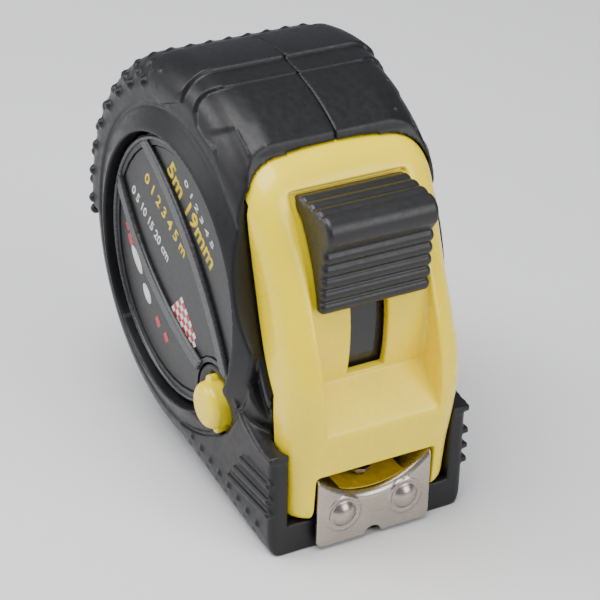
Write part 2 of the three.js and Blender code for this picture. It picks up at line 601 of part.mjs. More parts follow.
// A round along Z from z0 to z1.
function alongZ(radius, [x, y], z0, z1, segments = 8) {
  const geometry = new THREE.CylinderGeometry(radius, radius, z1 - z0, segments);
  return solid(geometry.rotateX(Math.PI / 2).translate(x, y, (z0 + z1) / 2));
}

function rivet([x, y]) {
  const tongueTop = sagZ(Math.abs(y) + 1.8, BLADE_LOW_Z + BLADE_THICKNESS + 0.1 + TONGUE_THICKNESS) + 0.1;
  const bladeLow = sagZ(Math.max(Math.abs(y) - 1.8, 0), BLADE_LOW_Z) - 0.15;
  return union(
    alongZ(RIVET_RADIUS, [x, y], bladeLow - 0.2, tongueTop + 0.2),
    alongZ(1.8, [x, y], tongueTop, tongueTop + 0.5),
    alongZ(1.6, [x, y], bladeLow - 0.5, bladeLow),
  );
}

function hookPlate() {
  const half = BLADE_HALF_WIDTH;
  const low = BLADE_LOW_Z + BLADE_THICKNESS + 0.1;
  const crown = stripOutline(half, low, TONGUE_THICKNESS).slice(13);
  const notchPoints = [[-1.4, 0], [-0.9, 0.9], [0, 1.2], [0.9, 0.9], [1.4, 0]];
  const notch = notchPoints.map(([y, z]) => [y, HOOK_BOTTOM_Z + z]);
  const face = polygon([[-half, HOOK_BOTTOM_Z], ...notch, [half, HOOK_BOTTOM_Z], ...crown]);
  const plate = prismAlongX(face, HOOK_X, HOOK_X + HOOK_THICKNESS);
  const tongue = prismAlongX(polygon(stripOutline(7.4, low, TONGUE_THICKNESS)), FRONT_X - 14, HOOK_X + 0.1);
  let made = plate.add(tongue);
  for (const s of [-1, 1]) {
    const dome = new THREE.SphereGeometry(3.2, 12, 8).scale(0.45, 0.8, 0.8);
    const [y, z] = [s * DOME_AT[0], DOME_AT[1]];
    const cap = solid(dome.translate(HOOK_X + HOOK_THICKNESS - 0.3, y, z));
    made = made.add(cap.intersect(box([HOOK_X + 0.1, HOOK_X + 5], [-20, 20], [0, 20])));
    made = made.subtract(alongX(MAGNET_RADIUS + 0.1, [y, z], HOOK_X - 1, HOOK_X + 0.55));
  }
  for (const [x, y] of RIVETS) {
    const room = RIVET_RADIUS + 0.1;
    made = made.subtract(box([x - room - HOOK_FLOAT, x + room], [y - room, y + room], [0, 20]));
  }
  return made;
}

const MAGNET_RADIUS = 2;

// A round along X from x0 to x1.
function alongX(radius, [y, z], x0, x1, segments = 12) {
  const geometry = new THREE.CylinderGeometry(radius, radius, x1 - x0, segments);
  return solid(geometry.rotateZ(Math.PI / 2).translate((x0 + x1) / 2, y, z));
}

const hookMagnet = (side) => alongX(MAGNET_RADIUS, [side * DOME_AT[0], DOME_AT[1]], HOOK_X, HOOK_X + 0.5);

const mouthBumper = () =>
  box([CASE_FRONT_X + 0.05, HOOK_X - 0.2], [-6, 6], [LEG_BOTTOM_Z + 0.1, CHANNEL_Z[0] - 0.4]);

// ---- the spool ----
const POST_RADIUS = 3;
const DRUM_RADIUS = COIL_RADIUS - COIL_DEPTH;
const DRUM_HALF_WIDTH = BLADE_HALF_WIDTH + 0.1;
const DRUM_WALL = 1.3;
const BORE_RADIUS = POST_RADIUS + 0.15;

// A cup that is open towards +Y, with a bearing collar on the post.
function drum() {
  const [collar, inner] = [POST_RADIUS + 1.6, DRUM_RADIUS - DRUM_WALL];
  const [y0, y1] = [-DRUM_HALF_WIDTH, DRUM_HALF_WIDTH];
  const profile = [
    [BORE_RADIUS, y0],
    [DRUM_RADIUS, y0],
    [DRUM_RADIUS, y1],
    [inner, y1],
    [inner, y0 + DRUM_WALL],
    [collar, y0 + DRUM_WALL],
    [collar, y0 + 2.6],
    [BORE_RADIUS, y0 + 2.6],
    [BORE_RADIUS, y0],
  ];
  return turned(profile, undefined, 32);
}

const drumLid = () =>
  tube(BORE_RADIUS, DRUM_RADIUS - DRUM_WALL - 0.15, DRUM_HALF_WIDTH - 1.2, DRUM_HALF_WIDTH, undefined, 32);

const bladeCoil = () =>
  tube(DRUM_RADIUS + 0.15, COIL_RADIUS, -BLADE_HALF_WIDTH, BLADE_HALF_WIDTH, undefined, 48);

// A flat spiral ribbon, wound from the post out to the drum.
function powerSpring() {
  const [turns, perTurn, thickness] = [5, 18, 0.35];
  const [r0, r1] = [POST_RADIUS + 1.9, DRUM_RADIUS - DRUM_WALL - 0.6];
  const edge = (extra) =>
    Array.from({ length: turns * perTurn + 1 }, (_, i) => {
      const share = i / (turns * perTurn);
      return polar(r0 + (r1 - r0) * share + extra, 360 * turns * share);
    });
  const [y0, y1] = [-DRUM_HALF_WIDTH + 3.4, DRUM_HALF_WIDTH - 1.8];
  return prism(polygon([...edge(0).reverse(), ...edge(thickness)].reverse()), y0, y1);
}

// The fixed post is split across one side, where the spring's inner end hooks in.
function spindlePost() {
  const post = cylinder(POST_RADIUS, -CASE_HALF_WIDTH + 0.4, CASE_HALF_WIDTH - 0.4, undefined, 24);
  const splitY = [-BLADE_HALF_WIDTH + 3, BLADE_HALF_WIDTH - 1.5];
  const split = box([-0.4, POST_RADIUS + 1], splitY, [SPINDLE_Z - 0.4, SPINDLE_Z + 0.4]);
  return post.subtract(split).subtract(cylinder(1.3, 0, CASE_HALF_WIDTH + 1, undefined, 12));
}

// ---- the side button ----
const PLUNGER_RADIUS = 1.6;
const BUTTON_FACE_Y = -JACKET_HALF_WIDTH - BUTTON_HEIGHT;
const BUTTON_BACK_Y = -CHAMBER_HALF_WIDTH - 3.9;
const SHOE_Y = -BLADE_HALF_WIDTH - 0.05 - BUTTON_TRAVEL; // at full travel it all but touches the coil's side
const SHOE_THICKNESS = 0.8;

// Two keys on the button's skirt stop it from turning.
const buttonKeys = (grow = 0) =>
  union(
    [108, -72].map((deg) => {
      const at = [
        BUTTON_AT[0] + (BUTTON_RADIUS - 0.1) * Math.cos(rad(deg)),
        BUTTON_AT[1] + (BUTTON_RADIUS - 0.1) * Math.sin(rad(deg)),
      ];
      const faceY = grow ? -DISC_Y - 2 : -DISC_Y - 0.2;
      return cylinder(1 + grow, faceY, grow ? -CHAMBER_HALF_WIDTH - 0.9 : BUTTON_BACK_Y, at, 14);
    }),
  );

function sideButton() {
  const shoulder = BUTTON_FACE_Y + 1.7;
  const dome = [90, 72, 54, 36, 18, 0].map((deg) => [
    BUTTON_RADIUS * Math.cos(rad(deg)),
    shoulder - (shoulder - BUTTON_FACE_Y) * Math.sin(rad(deg)),
  ]);
  const cap = turned([...dome, [BUTTON_RADIUS, BUTTON_BACK_Y], [0, BUTTON_BACK_Y]], BUTTON_AT, 28);
  return cap.add(buttonKeys());
}

const buttonPlunger = () =>
  union(
    cylinder(PLUNGER_RADIUS - 0.35, BUTTON_BACK_Y, SHOE_Y - 0.2, BUTTON_AT, 16),
    cylinder(PLUNGER_RADIUS, SHOE_Y - SHOE_THICKNESS, SHOE_Y, BUTTON_AT, 16),
  );

// A conical wire spring under the button, modelled as its wire.
function buttonSpring() {
  const [turns, wire, y0, y1] = [2.5, 0.25, BUTTON_BACK_Y + 0.3, BUTTON_BACK_Y + 2.6];
  const points = Array.from({ length: 26 }, (_, i) => {
    const share = i / 25;
    const turn = 2 * Math.PI * turns * share;
    const radius = PLUNGER_RADIUS + 0.7;
    return new THREE.Vector3(
      BUTTON_AT[0] + radius * Math.cos(turn),
      y0 + (y1 - y0) * share,
      BUTTON_AT[1] + radius * Math.sin(turn),
    );
  });
  const section = new THREE.Shape().absarc(0, 0, wire, 0, 2 * Math.PI);
  const path = new THREE.CatmullRomCurve3(points);
  return solid(new THREE.ExtrudeGeometry(section, { extrudePath: path, steps: 40, curveSegments: 3 }));
}

// ---- the belt clip on the +Y side ----
function beltClip() {
  const inner = DISC_Y + 0.05;
  const outer = inner + CLIP_THICKNESS + CLIP_GAP; // inner face of the outer leaf
  const bendZ = SPINDLE_Z + 15;
  const bendRadius = (outer + CLIP_THICKNESS - inner) / 2;
  const centre = [(inner + outer + CLIP_THICKNESS) / 2, bendZ];
  const bend = (radius, from, to) =>
    Array.from({ length: 11 }, (_, i) => {
      const turn = rad(from + ((to - from) * i) / 10);
      return [centre[0] + radius * Math.cos(turn), centre[1] + radius * Math.sin(turn)];
    });
  const tipZ = SPINDLE_Z - 15;
  const profile = polygon([
    [inner, SPINDLE_Z - 6],
    [inner + CLIP_THICKNESS, SPINDLE_Z - 6],
    ...bend(bendRadius - CLIP_THICKNESS, 180, 0),
    [outer, tipZ + 4],
    [outer + 1.1, tipZ],
    [outer + 1.1 + CLIP_THICKNESS, tipZ + 0.3],
    [outer + CLIP_THICKNESS, tipZ + 4.3],
    ...bend(bendRadius, 0, 180),
  ]);
  const strip = prismAlongX(profile, -CLIP_WIDTH / 2, CLIP_WIDTH / 2);
  const driverHole = cylinder(3.2, outer - 0.5, outer + 4, undefined, 24);
  const screwHole = turned([
    [0, inner - 1],
    [1.6, inner - 1],
    [1.9, inner],
    [2.8, inner + 0.6],
    [2.8, inner + 2],
    [0, inner + 2],
  ]);
  return strip.subtract(driverHole).subtract(screwHole);
}

// A countersunk screw whose head faces +Y, with a cross recess.
function screw(at, headY, headRadius, shankRadius, length) {
  const body = turned(
    [
      [0, headY],
      [headRadius, headY],
      [headRadius, headY - 0.35],
      [shankRadius, headY - 1.25],
      [shankRadius, headY - length],
      [0, headY - length - 0.6],
    ],
    at,
    16,
  );
  const arm = headRadius * 0.6;
  const cut = (dx, dz) => box([at[0] - dx, at[0] + dx], [headY - 0.7, headY + 1], [at[1] - dz, at[1] + dz]);
  return body.subtract(cut(arm, 0.28)).subtract(cut(0.28, arm));
}

const clipScrew = () => screw([0, SPINDLE_Z], DISC_Y + CLIP_THICKNESS + 0.02, 2.5, 1.25, 9);
const caseScrew = (at) =>
  screw(at, CASE_HALF_WIDTH - 0.2, SCREW_HEAD_RADIUS, SCREW_RADIUS - 0.05, CASE_HALF_WIDTH + 4);

const labelPanel = (index) =>
  labelWindow(index, 0.25, -DISC_Y + 0.2, -DISC_Y + LABEL_WINDOW_DEPTH - 0.02).subtract(
    cylinder(SEAT_RADIUS + 1.25, -DISC_Y - 1, -DISC_Y + 1, BUTTON_AT, 24),
  );

// ---- the assembly ----
const group = new THREE.Group();

function add(name, made, material) {
  const mesh = new THREE.Mesh(geometryOf(made), material);
  mesh.name = name;
  group.add(mesh);
}

add("case_right", caseHalf(-1), BLACK_PLASTIC);
add("case_left", caseHalf(1), BLACK_PLASTIC);
add("jacket_right", jacketHalf(-1), RUBBER);
add("jacket_left", jacketHalf(1), RUBBER);
add("front_bezel", frontBezel(), YELLOW);
add("lock_slider", lockSlider(), BLACK_PLASTIC);
add("lock_tongue", lockTongue(), GLOSS_BLACK);
add("brake_pad", brakePad(), RUBBER);
add("blade_strip", bladeStrip(), BLADE_PAINT);
add("hook_plate", hookPlate(), STEEL);
["front", "right", "left"].forEach((place, i) => add(`hook_rivet_${place}`, rivet(RIVETS[i]), STEEL));
add("hook_magnet_right", hookMagnet(-1), DARK_STEEL);
add("hook_magnet_left", hookMagnet(1), DARK_STEEL);
add("mouth_bumper", mouthBumper(), RUBBER);
add("spindle_post", spindlePost(), GREY_PLASTIC);
add("spool_drum", drum(), GREY_PLASTIC);
add("spool_lid", drumLid(), GREY_PLASTIC);
add("blade_coil", bladeCoil(), BLADE_PAINT);
add("power_spring", powerSpring(), DARK_STEEL);
add("side_button", sideButton(), YELLOW);
add("button_plunger", buttonPlunger(), GREY_PLASTIC);
add("button_spring", buttonSpring(), STEEL);
add("belt_clip", beltClip(), STEEL);
add("clip_screw", clipScrew(), STEEL);
const SCREW_NAMES = ["top", "rear", "low_rear", "front"];
screwPlaces().forEach((at, i) => add(`case_screw_${SCREW_NAMES[i]}`, caseScrew(at), DARK_STEEL));
["lower", "middle", "upper"].forEach((place, i) => add(`label_${place}`, labelPanel(i), LABEL_PRINT));

export default group;
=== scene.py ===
"""The looks of a pocket tape measure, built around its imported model.

The moulded pieces are worked out as distance fields on a fine grid, in millimetres, and turned into
meshes, so that their edges are rounded as a mould rounds them. x runs out of the mouth, z up, and the
label is on the -y side.
"""

import json
import math

import bmesh
import bpy
import numpy as np
import openvdb as vdb
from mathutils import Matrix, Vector


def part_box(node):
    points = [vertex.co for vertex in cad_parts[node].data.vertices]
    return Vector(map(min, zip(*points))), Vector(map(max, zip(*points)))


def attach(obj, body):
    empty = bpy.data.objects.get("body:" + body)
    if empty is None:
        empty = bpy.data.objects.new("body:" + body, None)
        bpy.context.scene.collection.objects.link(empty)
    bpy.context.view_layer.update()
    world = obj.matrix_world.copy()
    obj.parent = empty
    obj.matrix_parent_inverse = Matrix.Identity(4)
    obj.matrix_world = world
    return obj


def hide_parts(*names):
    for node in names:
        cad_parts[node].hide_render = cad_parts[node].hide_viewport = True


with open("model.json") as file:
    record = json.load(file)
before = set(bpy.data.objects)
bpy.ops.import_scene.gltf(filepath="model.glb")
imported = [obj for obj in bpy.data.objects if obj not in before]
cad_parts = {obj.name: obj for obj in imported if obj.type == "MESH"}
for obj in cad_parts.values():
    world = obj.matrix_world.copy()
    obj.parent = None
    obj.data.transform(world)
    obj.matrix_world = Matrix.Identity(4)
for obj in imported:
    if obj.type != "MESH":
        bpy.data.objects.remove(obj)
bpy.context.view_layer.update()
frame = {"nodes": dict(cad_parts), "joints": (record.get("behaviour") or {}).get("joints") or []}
MM = 0.001


def box_mm(node):
    low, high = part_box(node)
    return np.array(low) / MM, np.array(high) / MM


# ---- sizes, in millimetres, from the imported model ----
JOINTS = {joint["name"]: joint for joint in frame["joints"]}
SPINDLE_Z = JOINTS["spool_spin"]["pos_m"][2] / MM
JACKET_LOW, JACKET_HIGH = box_mm("jacket_right")
PARTING_Y = (JACKET_HIGH[1] + box_mm("jacket_left")[0][1]) / 2
BEZEL_LOW, BEZEL_HIGH = box_mm("front_bezel")
CASE_LOW = box_mm("case_right")[0]
LOCK_LOW, LOCK_HIGH = box_mm("lock_slider")
HOOK_LOW, HOOK_HIGH = box_mm("hook_plate")
BUTTON_LOW, BUTTON_HIGH = box_mm("button_plunger")
BUTTON_FACE_Y, BUTTON_BACK_Y = (edge[1] for edge in box_mm("side_button"))
STRIP_LOW, STRIP_HIGH = box_mm("blade_strip")
CLIP_LOW, CLIP_HIGH = box_mm("belt_clip")
SCREWS = ("case_screw_top", "case_screw_rear", "case_screw_low_rear", "case_screw_front")

PAD_RADIUS = JACKET_HIGH[2] - SPINDLE_Z
JACKET_RADIUS = PAD_RADIUS - 0.9
STRIP_RADIUS = PAD_RADIUS - 0.6
HOOD_DROP = 0.5  # how far the hood panel lies below the strip behind it
GRIP_RISE = 0.2
PAD_RISE = 0.4
RING_TOP_Y = -JACKET_LOW[1]
JACKET_HALF_WIDTH = RING_TOP_Y - 1.6
JACKET_EDGE = 7.0
TOP_EDGE = 5.5
TOP_HALF_WIDTH = JACKET_HALF_WIDTH + 0.35
RING_INNER_RADIUS = 20.9
RING_OUTER_RADIUS = 24.2
DISC_Y = -CASE_LOW[1]
CASE_RADIUS = -CASE_LOW[0]
CASE_HALF_WIDTH = JACKET_HALF_WIDTH - 3.2
GAP = 0.3

FRONT_X = BEZEL_HIGH[0]
FLOOR_RADIUS = FRONT_X - 5
CHAMBER_RADIUS = FLOOR_RADIUS - 1.5
CHAMBER_HALF_WIDTH = 10.8
EDGE_ARC_RADIUS = 44.4
EDGE_ARC = (FRONT_X + EDGE_ARC_RADIUS - 14.9, SPINDLE_Z + 17.8)
LEG_BOTTOM_Z = BEZEL_LOW[2]
LEG_BACK_X = FRONT_X - 7.2
BOOT_FRONT_X = JACKET_HIGH[0]
BUTTON_AT = ((BUTTON_LOW[0] + BUTTON_HIGH[0]) / 2, (BUTTON_LOW[2] + BUTTON_HIGH[2]) / 2)
BUTTON_RADIUS = 3.6
KEY_RADIUS = 0.95
KEY_PLACE = 3.5  # from the button's axis
SEAT_RADIUS = BUTTON_RADIUS + 2.3
BLADE_HALF_WIDTH = STRIP_HIGH[1]
MOUTH_HALF_WIDTH = BLADE_HALF_WIDTH + 0.4
MOUTH_TOP_Z = 12.8
SCREW_HOLES = [tuple((box_mm(name)[0] + box_mm(name)[1])[[0, 2]] / 2) for name in SCREWS]


# ---- distance fields: negative inside, in millimetres ----
def smooth_min(a, b, k):
    share = np.clip(0.5 + 0.5 * (b - a) / k, 0, 1)
    return b + (a - b) * share - k * share * (1 - share)


def smooth_max(a, b, k):
    return -smooth_min(-a, -b, k)


def polygon_field(points, x, z):
    """Signed distance to a closed outline, given as (x, z) pairs."""
    best = None
    inside = np.zeros(np.broadcast(x, z).shape, bool)
    for (x0, z0), (x1, z1) in zip(points, points[1:] + points[:1]):
        ex, ez = x1 - x0, z1 - z0
        px, pz = x - x0, z - z0
        share = np.clip((px * ex + pz * ez) / (ex * ex + ez * ez), 0, 1)
        square = (px - ex * share) ** 2 + (pz - ez * share) ** 2
        best = square if best is None else np.minimum(best, square)
        if z0 != z1:
            crosses = ((z0 > z) != (z1 > z)) & (px < (z - z0) * ex / ez)
            inside ^= crosses
    return np.where(inside, -np.sqrt(best), np.sqrt(best))


def slab(outline, across, half, edge):
    """An outline's field extruded to a half width, with its edges rounded."""
    a = outline + edge
    b = across - half + edge
    return np.minimum(np.maximum(a, b), 0) + np.hypot(np.maximum(a, 0), np.maximum(b, 0)) - edge


def polar(radius, deg):
    turn = math.radians(deg)
    return (radius * math.cos(turn), SPINDLE_Z + radius * math.sin(turn))


def arc(radius, start, end, steps=24):
    return [polar(radius, start + (end - start) * i / steps) for i in range(steps + 1)]


def curve_points(a, b, c, steps=12):
    """Points along a quadratic curve from a to c that bends towards b."""
    shares = [i / steps for i in range(steps + 1)]
    return [
        tuple((1 - t) ** 2 * a[i] + 2 * t * (1 - t) * b[i] + t * t * c[i] for i in (0, 1)) for t in shares
    ]


class Grid:
    """A block of sample points between two corners."""

    def __init__(self, low, high, voxel):
        self.low = np.array(low, float) - 3 * voxel
        self.voxel = voxel
        counts = np.ceil((np.array(high) + 3 * voxel - self.low) / voxel).astype(int) + 1
        axes = [(self.low[i] + voxel * np.arange(counts[i])).astype(np.float32) for i in range(3)]
        self.x = axes[0][:, None, None]
        self.y = axes[1][None, :, None]
        self.z = axes[2][None, None, :]
        self.axes = axes

    def add_ball(self, field, centre, radius, k):
        """Blends a ball into the field, working only on the samples near it."""
        reach = radius + 4 * k + 2 * self.voxel
        span = []
        for i in range(3):
            first = max(int((centre[i] - reach - self.low[i]) / self.voxel), 0)
            last = int((centre[i] + reach - self.low[i]) / self.voxel) + 2
            if last <= 0 or first >= len(self.axes[i]):
                return
            span.append(slice(first, last))
        x = self.axes[0][span[0]][:, None, None] - centre[0]
        y = self.axes[1][span[1]][None, :, None] - centre[1]
        z = self.axes[2][span[2]][None, None, :] - centre[2]
        ball = np.sqrt(x * x + y * y + z * z) - radius
        window = field[span[0], span[1], span[2]]
        field[span[0], span[1], span[2]] = smooth_min(window, ball.astype(np.float32), k)

    def mesh(self, name, field):
        limit = 3 * self.voxel
        grid = vdb.FloatGrid(limit)
        grid.copyFromArray(np.ascontiguousarray(np.clip(field, -limit, limit).astype(np.float32)))
        points, quads = grid.convertToQuads(0)
        points = (self.low + points * self.voxel) * MM
        made = bpy.data.meshes.new(name)
        made.vertices.add(len(points))
        made.vertices.foreach_set("co", points.astype(np.float32).ravel())
        made.loops.add(4 * len(quads))
        made.loops.foreach_set("vertex_index", quads[:, ::-1].astype(np.int32).ravel())
        made.polygons.add(len(quads))
        made.polygons.foreach_set("loop_start", np.arange(0, 4 * len(quads), 4, dtype=np.int32))
        made.polygons.foreach_set("use_smooth", np.ones(len(quads), bool))
        made.update(calc_edges=True)
        return made


def piece(name, mesh, body, material, replaces=()):
    made = bpy.data.objects.new(name, mesh)
    bpy.context.scene.collection.objects.link(made)
    made.data.materials.append(material)
    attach(made, body)
    if replaces:
        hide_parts(*replaces)
    return made


# ---- materials ----
class Nodes:
    """Short calls for building a material's nodes."""

    def __init__(self, name):
        self.material = bpy.data.materials.new(name)
        self.material.use_nodes = True
        self.tree = self.material.node_tree
        self.shader = self.tree.nodes["Principled BSDF"]

    def add(self, kind, **values):
        node = self.tree.nodes.new(kind)
        for key, value in values.items():
            if hasattr(node, key):
                setattr(node, key, value)
            else:
                node.inputs[key.replace("_", " ")].default_value = value
        return node

    def link(self, source, target):
        self.tree.links.new(source, target)

    def set(self, **values):
        for key, value in values.items():
            self.shader.inputs[key.replace("_", " ")].default_value = value

    def noise(self, scale, detail=2.0, roughness=0.5):
        coords = self.add("ShaderNodeTexCoord")
        noise = self.add("ShaderNodeTexNoise", Scale=scale, Detail=detail, Roughness=roughness)
        self.link(coords.outputs["Object"], noise.inputs["Vector"])
        return noise.outputs["Fac"]

    def ramp(self, source, stops):
        ramp = self.add("ShaderNodeValToRGB")
        elements = ramp.color_ramp.elements
        while len(elements) < len(stops):
            elements.new(0.5)
        for element, (place, value) in zip(elements, stops):
            element.position = place
            element.color = (*value, 1) if isinstance(value, tuple) else (value, value, value, 1)
        self.link(source, ramp.inputs["Fac"])
        return ramp.outputs["Color"]

    def bump(self, source, strength, distance, after=None):
        bump = self.add("ShaderNodeBump", Strength=strength, Distance=distance)
        self.link(source, bump.inputs["Height"])
        if after is not None:
            self.link(after, bump.inputs["Normal"])
        return bump.outputs["Normal"]

    def pointiness(self):
        return self.add("ShaderNodeNewGeometry").outputs["Pointiness"]

    def mix(self, factor, a, b):
        mix = self.add("ShaderNodeMix", data_type="RGBA")
        for value, index in ((factor, 0), (a, 6), (b, 7)):
            if isinstance(value, bpy.types.NodeSocket):
                self.link(value, mix.inputs[index])
            else:
                mix.inputs[index].default_value = value if index == 0 else (*value, 1)
        return mix.outputs[2]


def rubber():
    """Satin rubber: near black, with a fine mould grain, faint blotches and paler worn edges."""
    n = Nodes("rubber")
    blotch = n.ramp(n.noise(60, 4), [(0.3, (0.006, 0.006, 0.007)), (0.7, (0.011, 0.011, 0.012))])
    worn = n.ramp(n.pointiness(), [(0.52, 0.0), (0.62, 1.0)])
    n.link(n.mix(worn, blotch, (0.045, 0.045, 0.047)), n.shader.inputs["Base Color"])
    n.link(n.ramp(n.noise(900, 3), [(0.3, 0.34), (0.7, 0.46)]), n.shader.inputs["Roughness"])
    grain = n.bump(n.noise(5200, 2), 0.12, 0.00004)
    n.link(n.bump(n.noise(1300, 3), 0.10, 0.00006, grain), n.shader.inputs["Normal"])
    n.set(Specular_IOR_Level=0.35)
    return n.material


def yellow():
    """Lemon-yellow ABS, satin to gloss, with a trace of moulding orange peel."""
    n = Nodes("yellow_abs")
    n.link(
        n.ramp(n.noise(45, 3), [(0.3, (0.98, 0.72, 0.001)), (0.7, (1.0, 0.78, 0.002))]),
        n.shader.inputs["Base Color"],
    )
    n.link(n.ramp(n.noise(700, 3), [(0.3, 0.24), (0.7, 0.32)]), n.shader.inputs["Roughness"])
    n.link(n.bump(n.noise(420, 2), 0.05, 0.0001), n.shader.inputs["Normal"])
    n.set(Subsurface_Weight=0.06, Subsurface_Scale=0.0008, Coat_Weight=0.2, Coat_Roughness=0.15)
    n.shader.inputs["Subsurface Radius"].default_value = (1.0, 0.75, 0.2)
    return n.material


def black_plastic(name="black_abs", low=0.34, high=0.46, tone=0.016):
    """Black ABS with a fine spark-eroded texture."""
    n = Nodes(name)
    tones = [(0.3, (tone, tone, tone * 1.06)), (0.7, (tone * 1.5, tone * 1.5, tone * 1.6))]
    worn = n.ramp(n.pointiness(), [(0.53, 0.0), (0.66, 1.0)])
    edges = (tone * 3, tone * 3, tone * 3.1)
    n.link(n.mix(worn, n.ramp(n.noise(80, 3), tones), edges), n.shader.inputs["Base Color"])
    n.link(n.ramp(n.noise(1500, 3), [(0.3, low), (0.7, high)]), n.shader.inputs["Roughness"])
    n.link(n.bump(n.noise(3600, 2), 0.14, 0.00004), n.shader.inputs["Normal"])
    return n.material


def metal(name, tone, low, high, grain=(1, 1, 40)):
    """Satin metal with a faint brushed grain."""
    n = Nodes(name)
    coords = n.add("ShaderNodeTexCoord")
    stretch = n.add("ShaderNodeMapping")
    stretch.inputs["Scale"].default_value = grain
    noise = n.add("ShaderNodeTexNoise", Scale=500.0, Detail=3.0)
    n.link(coords.outputs["Object"], stretch.inputs["Vector"])
    n.link(stretch.outputs["Vector"], noise.inputs["Vector"])
    shade = tuple(0.82 * channel for channel in tone)
    n.link(n.ramp(n.noise(120, 3), [(0.3, shade), (0.7, tone)]), n.shader.inputs["Base Color"])
    n.link(n.ramp(noise.outputs["Fac"], [(0.3, low), (0.7, high)]), n.shader.inputs["Roughness"])
    n.link(n.bump(noise.outputs["Fac"], 0.06, 0.00003), n.shader.inputs["Normal"])
    n.set(Metallic=1.0)
    return n.material


def print_ink(name, colour):
    """Screen-printed ink, slightly uneven."""
    n = Nodes(name)
    shade = tuple(0.8 * channel for channel in colour)
    n.link(n.ramp(n.noise(900, 3), [(0.35, shade), (0.65, colour)]), n.shader.inputs["Base Color"])
    n.link(n.ramp(n.noise(1500), [(0.3, 0.28), (0.7, 0.4)]), n.shader.inputs["Roughness"])
    return n.material


RUBBER = rubber()
YELLOW = yellow()
BLACK = black_plastic()
LOCK_BLACK = black_plastic("lock_black", 0.36, 0.48, 0.008)
GLOSS = black_plastic("gloss_black", 0.08, 0.14, 0.008)
LABEL_BLACK = black_plastic("label_black", 0.30, 0.38, 0.003)
RIB_GREY = black_plastic("rib_grey", 0.22, 0.32, 0.03)
GREY = black_plastic("grey_plastic", 0.4, 0.5, 0.3)
STEEL = metal("satin_nickel", (0.46, 0.41, 0.36), 0.24, 0.34)
DARK_STEEL = metal("spring_steel", (0.22, 0.22, 0.23), 0.3, 0.42)
# the blade's yellow lacquer is darkened to a mustard brown: painted shade, for the shadow the blade lies in
# inside the mouth
BLADE_LACQUER_SHADED = print_ink("blade_lacquer_painted_shade", (0.52, 0.36, 0.004))
INK_YELLOW = print_ink("ink_yellow", (0.93, 0.68, 0.004))
INK_WHITE = print_ink("ink_white", (0.80, 0.80, 0.78))
INK_BLACK = print_ink("ink_black", (0.012, 0.012, 0.013))
INK_RED = print_ink("ink_red", (0.55, 0.02, 0.03))


# ---- the bezel ----
BEZEL_LEVELS = [  # height, front, half width
    (LEG_BOTTOM_Z - 1, FRONT_X - 2.0, 13.0),
    (LEG_BOTTOM_Z + 1, FRONT_X - 1.7, 13.4),
    (LEG_BOTTOM_Z + 7.3, FRONT_X - 1.3, 13.7),
    (SPINDLE_Z - 14.2, FRONT_X - 0.43, 14.0),
    (SPINDLE_Z - 9.2, FRONT_X, 14.3),
    (SPINDLE_Z - 4.2, FRONT_X - 0.56, 14.3),
    (SPINDLE_Z + 0.8, FRONT_X - 2.2, 14.1),
    (SPINDLE_Z + 5.8, FRONT_X - 4.4, 14.0),
    (SPINDLE_Z + 10.8, FRONT_X - 6.7, 14.2),
    (SPINDLE_Z + 15.4, FRONT_X - 9.1, 14.6),
    (SPINDLE_Z + 18.8, FRONT_X - 11.2, 14.9),
    (SPINDLE_Z + 21.4, FRONT_X - 12.9, 14.6),
    (SPINDLE_Z + 26.0, FRONT_X - 15.9, 14.2),
]
BEZEL_TOP_Z = SPINDLE_Z + 25.1
BEZEL_CORNER = 4.6
POCKET_HALF_WIDTH = 9.5
POCKET_START, POCKET_END = -12.9, 44.4  # degrees about the spindle
SLOT_MIDDLE, SLOT_REACH, SLOT_HALF_WIDTH = 12.5, 24.5, 3.0


def smooth_levels(z, column):
    """The levels' front or half width at each height, without corners between the levels."""
    heights = np.array([level[0] for level in BEZEL_LEVELS])
    values = np.array([level[column] for level in BEZEL_LEVELS])
    fine = np.linspace(heights[0], heights[-1], 400)
    drawn = np.interp(fine, heights, values)
    spread = np.exp(-0.5 * (np.arange(-20, 21) / 8.0) ** 2)
    drawn = np.convolve(np.pad(drawn, 20, mode="edge"), spread / spread.sum(), "valid")
    return np.interp(z, fine, drawn).astype(np.float32)


def bezel_envelope(x, y, z, grow=0.0):
    """The bezel's outside before its pocket and mouth are cut."""
    s = np.abs(y)
    a = x - smooth_levels(z, 1) + BEZEL_CORNER
    b = s - smooth_levels(z, 2) + BEZEL_CORNER
    cap = np.minimum(np.maximum(a, b), 0) + np.hypot(np.maximum(a, 0), np.maximum(b, 0)) - BEZEL_CORNER
    top = (z - BEZEL_TOP_Z) + 0.008 * s * s
    # the rear edge: straight behind the legs, an arc beside the jacket, and leaning back over the top
    rear = np.hypot(x - EDGE_ARC[0], z - EDGE_ARC[1]) - EDGE_ARC_RADIUS
    rear = np.where(z < SPINDLE_Z - 7.6, LEG_BACK_X - x, rear)
    over = FRONT_X - 14.9 - 1.25 * (z - SPINDLE_Z - 19) - x
    rear = np.where(z > SPINDLE_Z + 19, np.maximum(over, rear - 5), rear)
    made = smooth_max(cap, top, 4.2)
    made = smooth_max(made, LEG_BOTTOM_Z - z, 1.8)
    return smooth_max(made, rear, 0.5) - grow


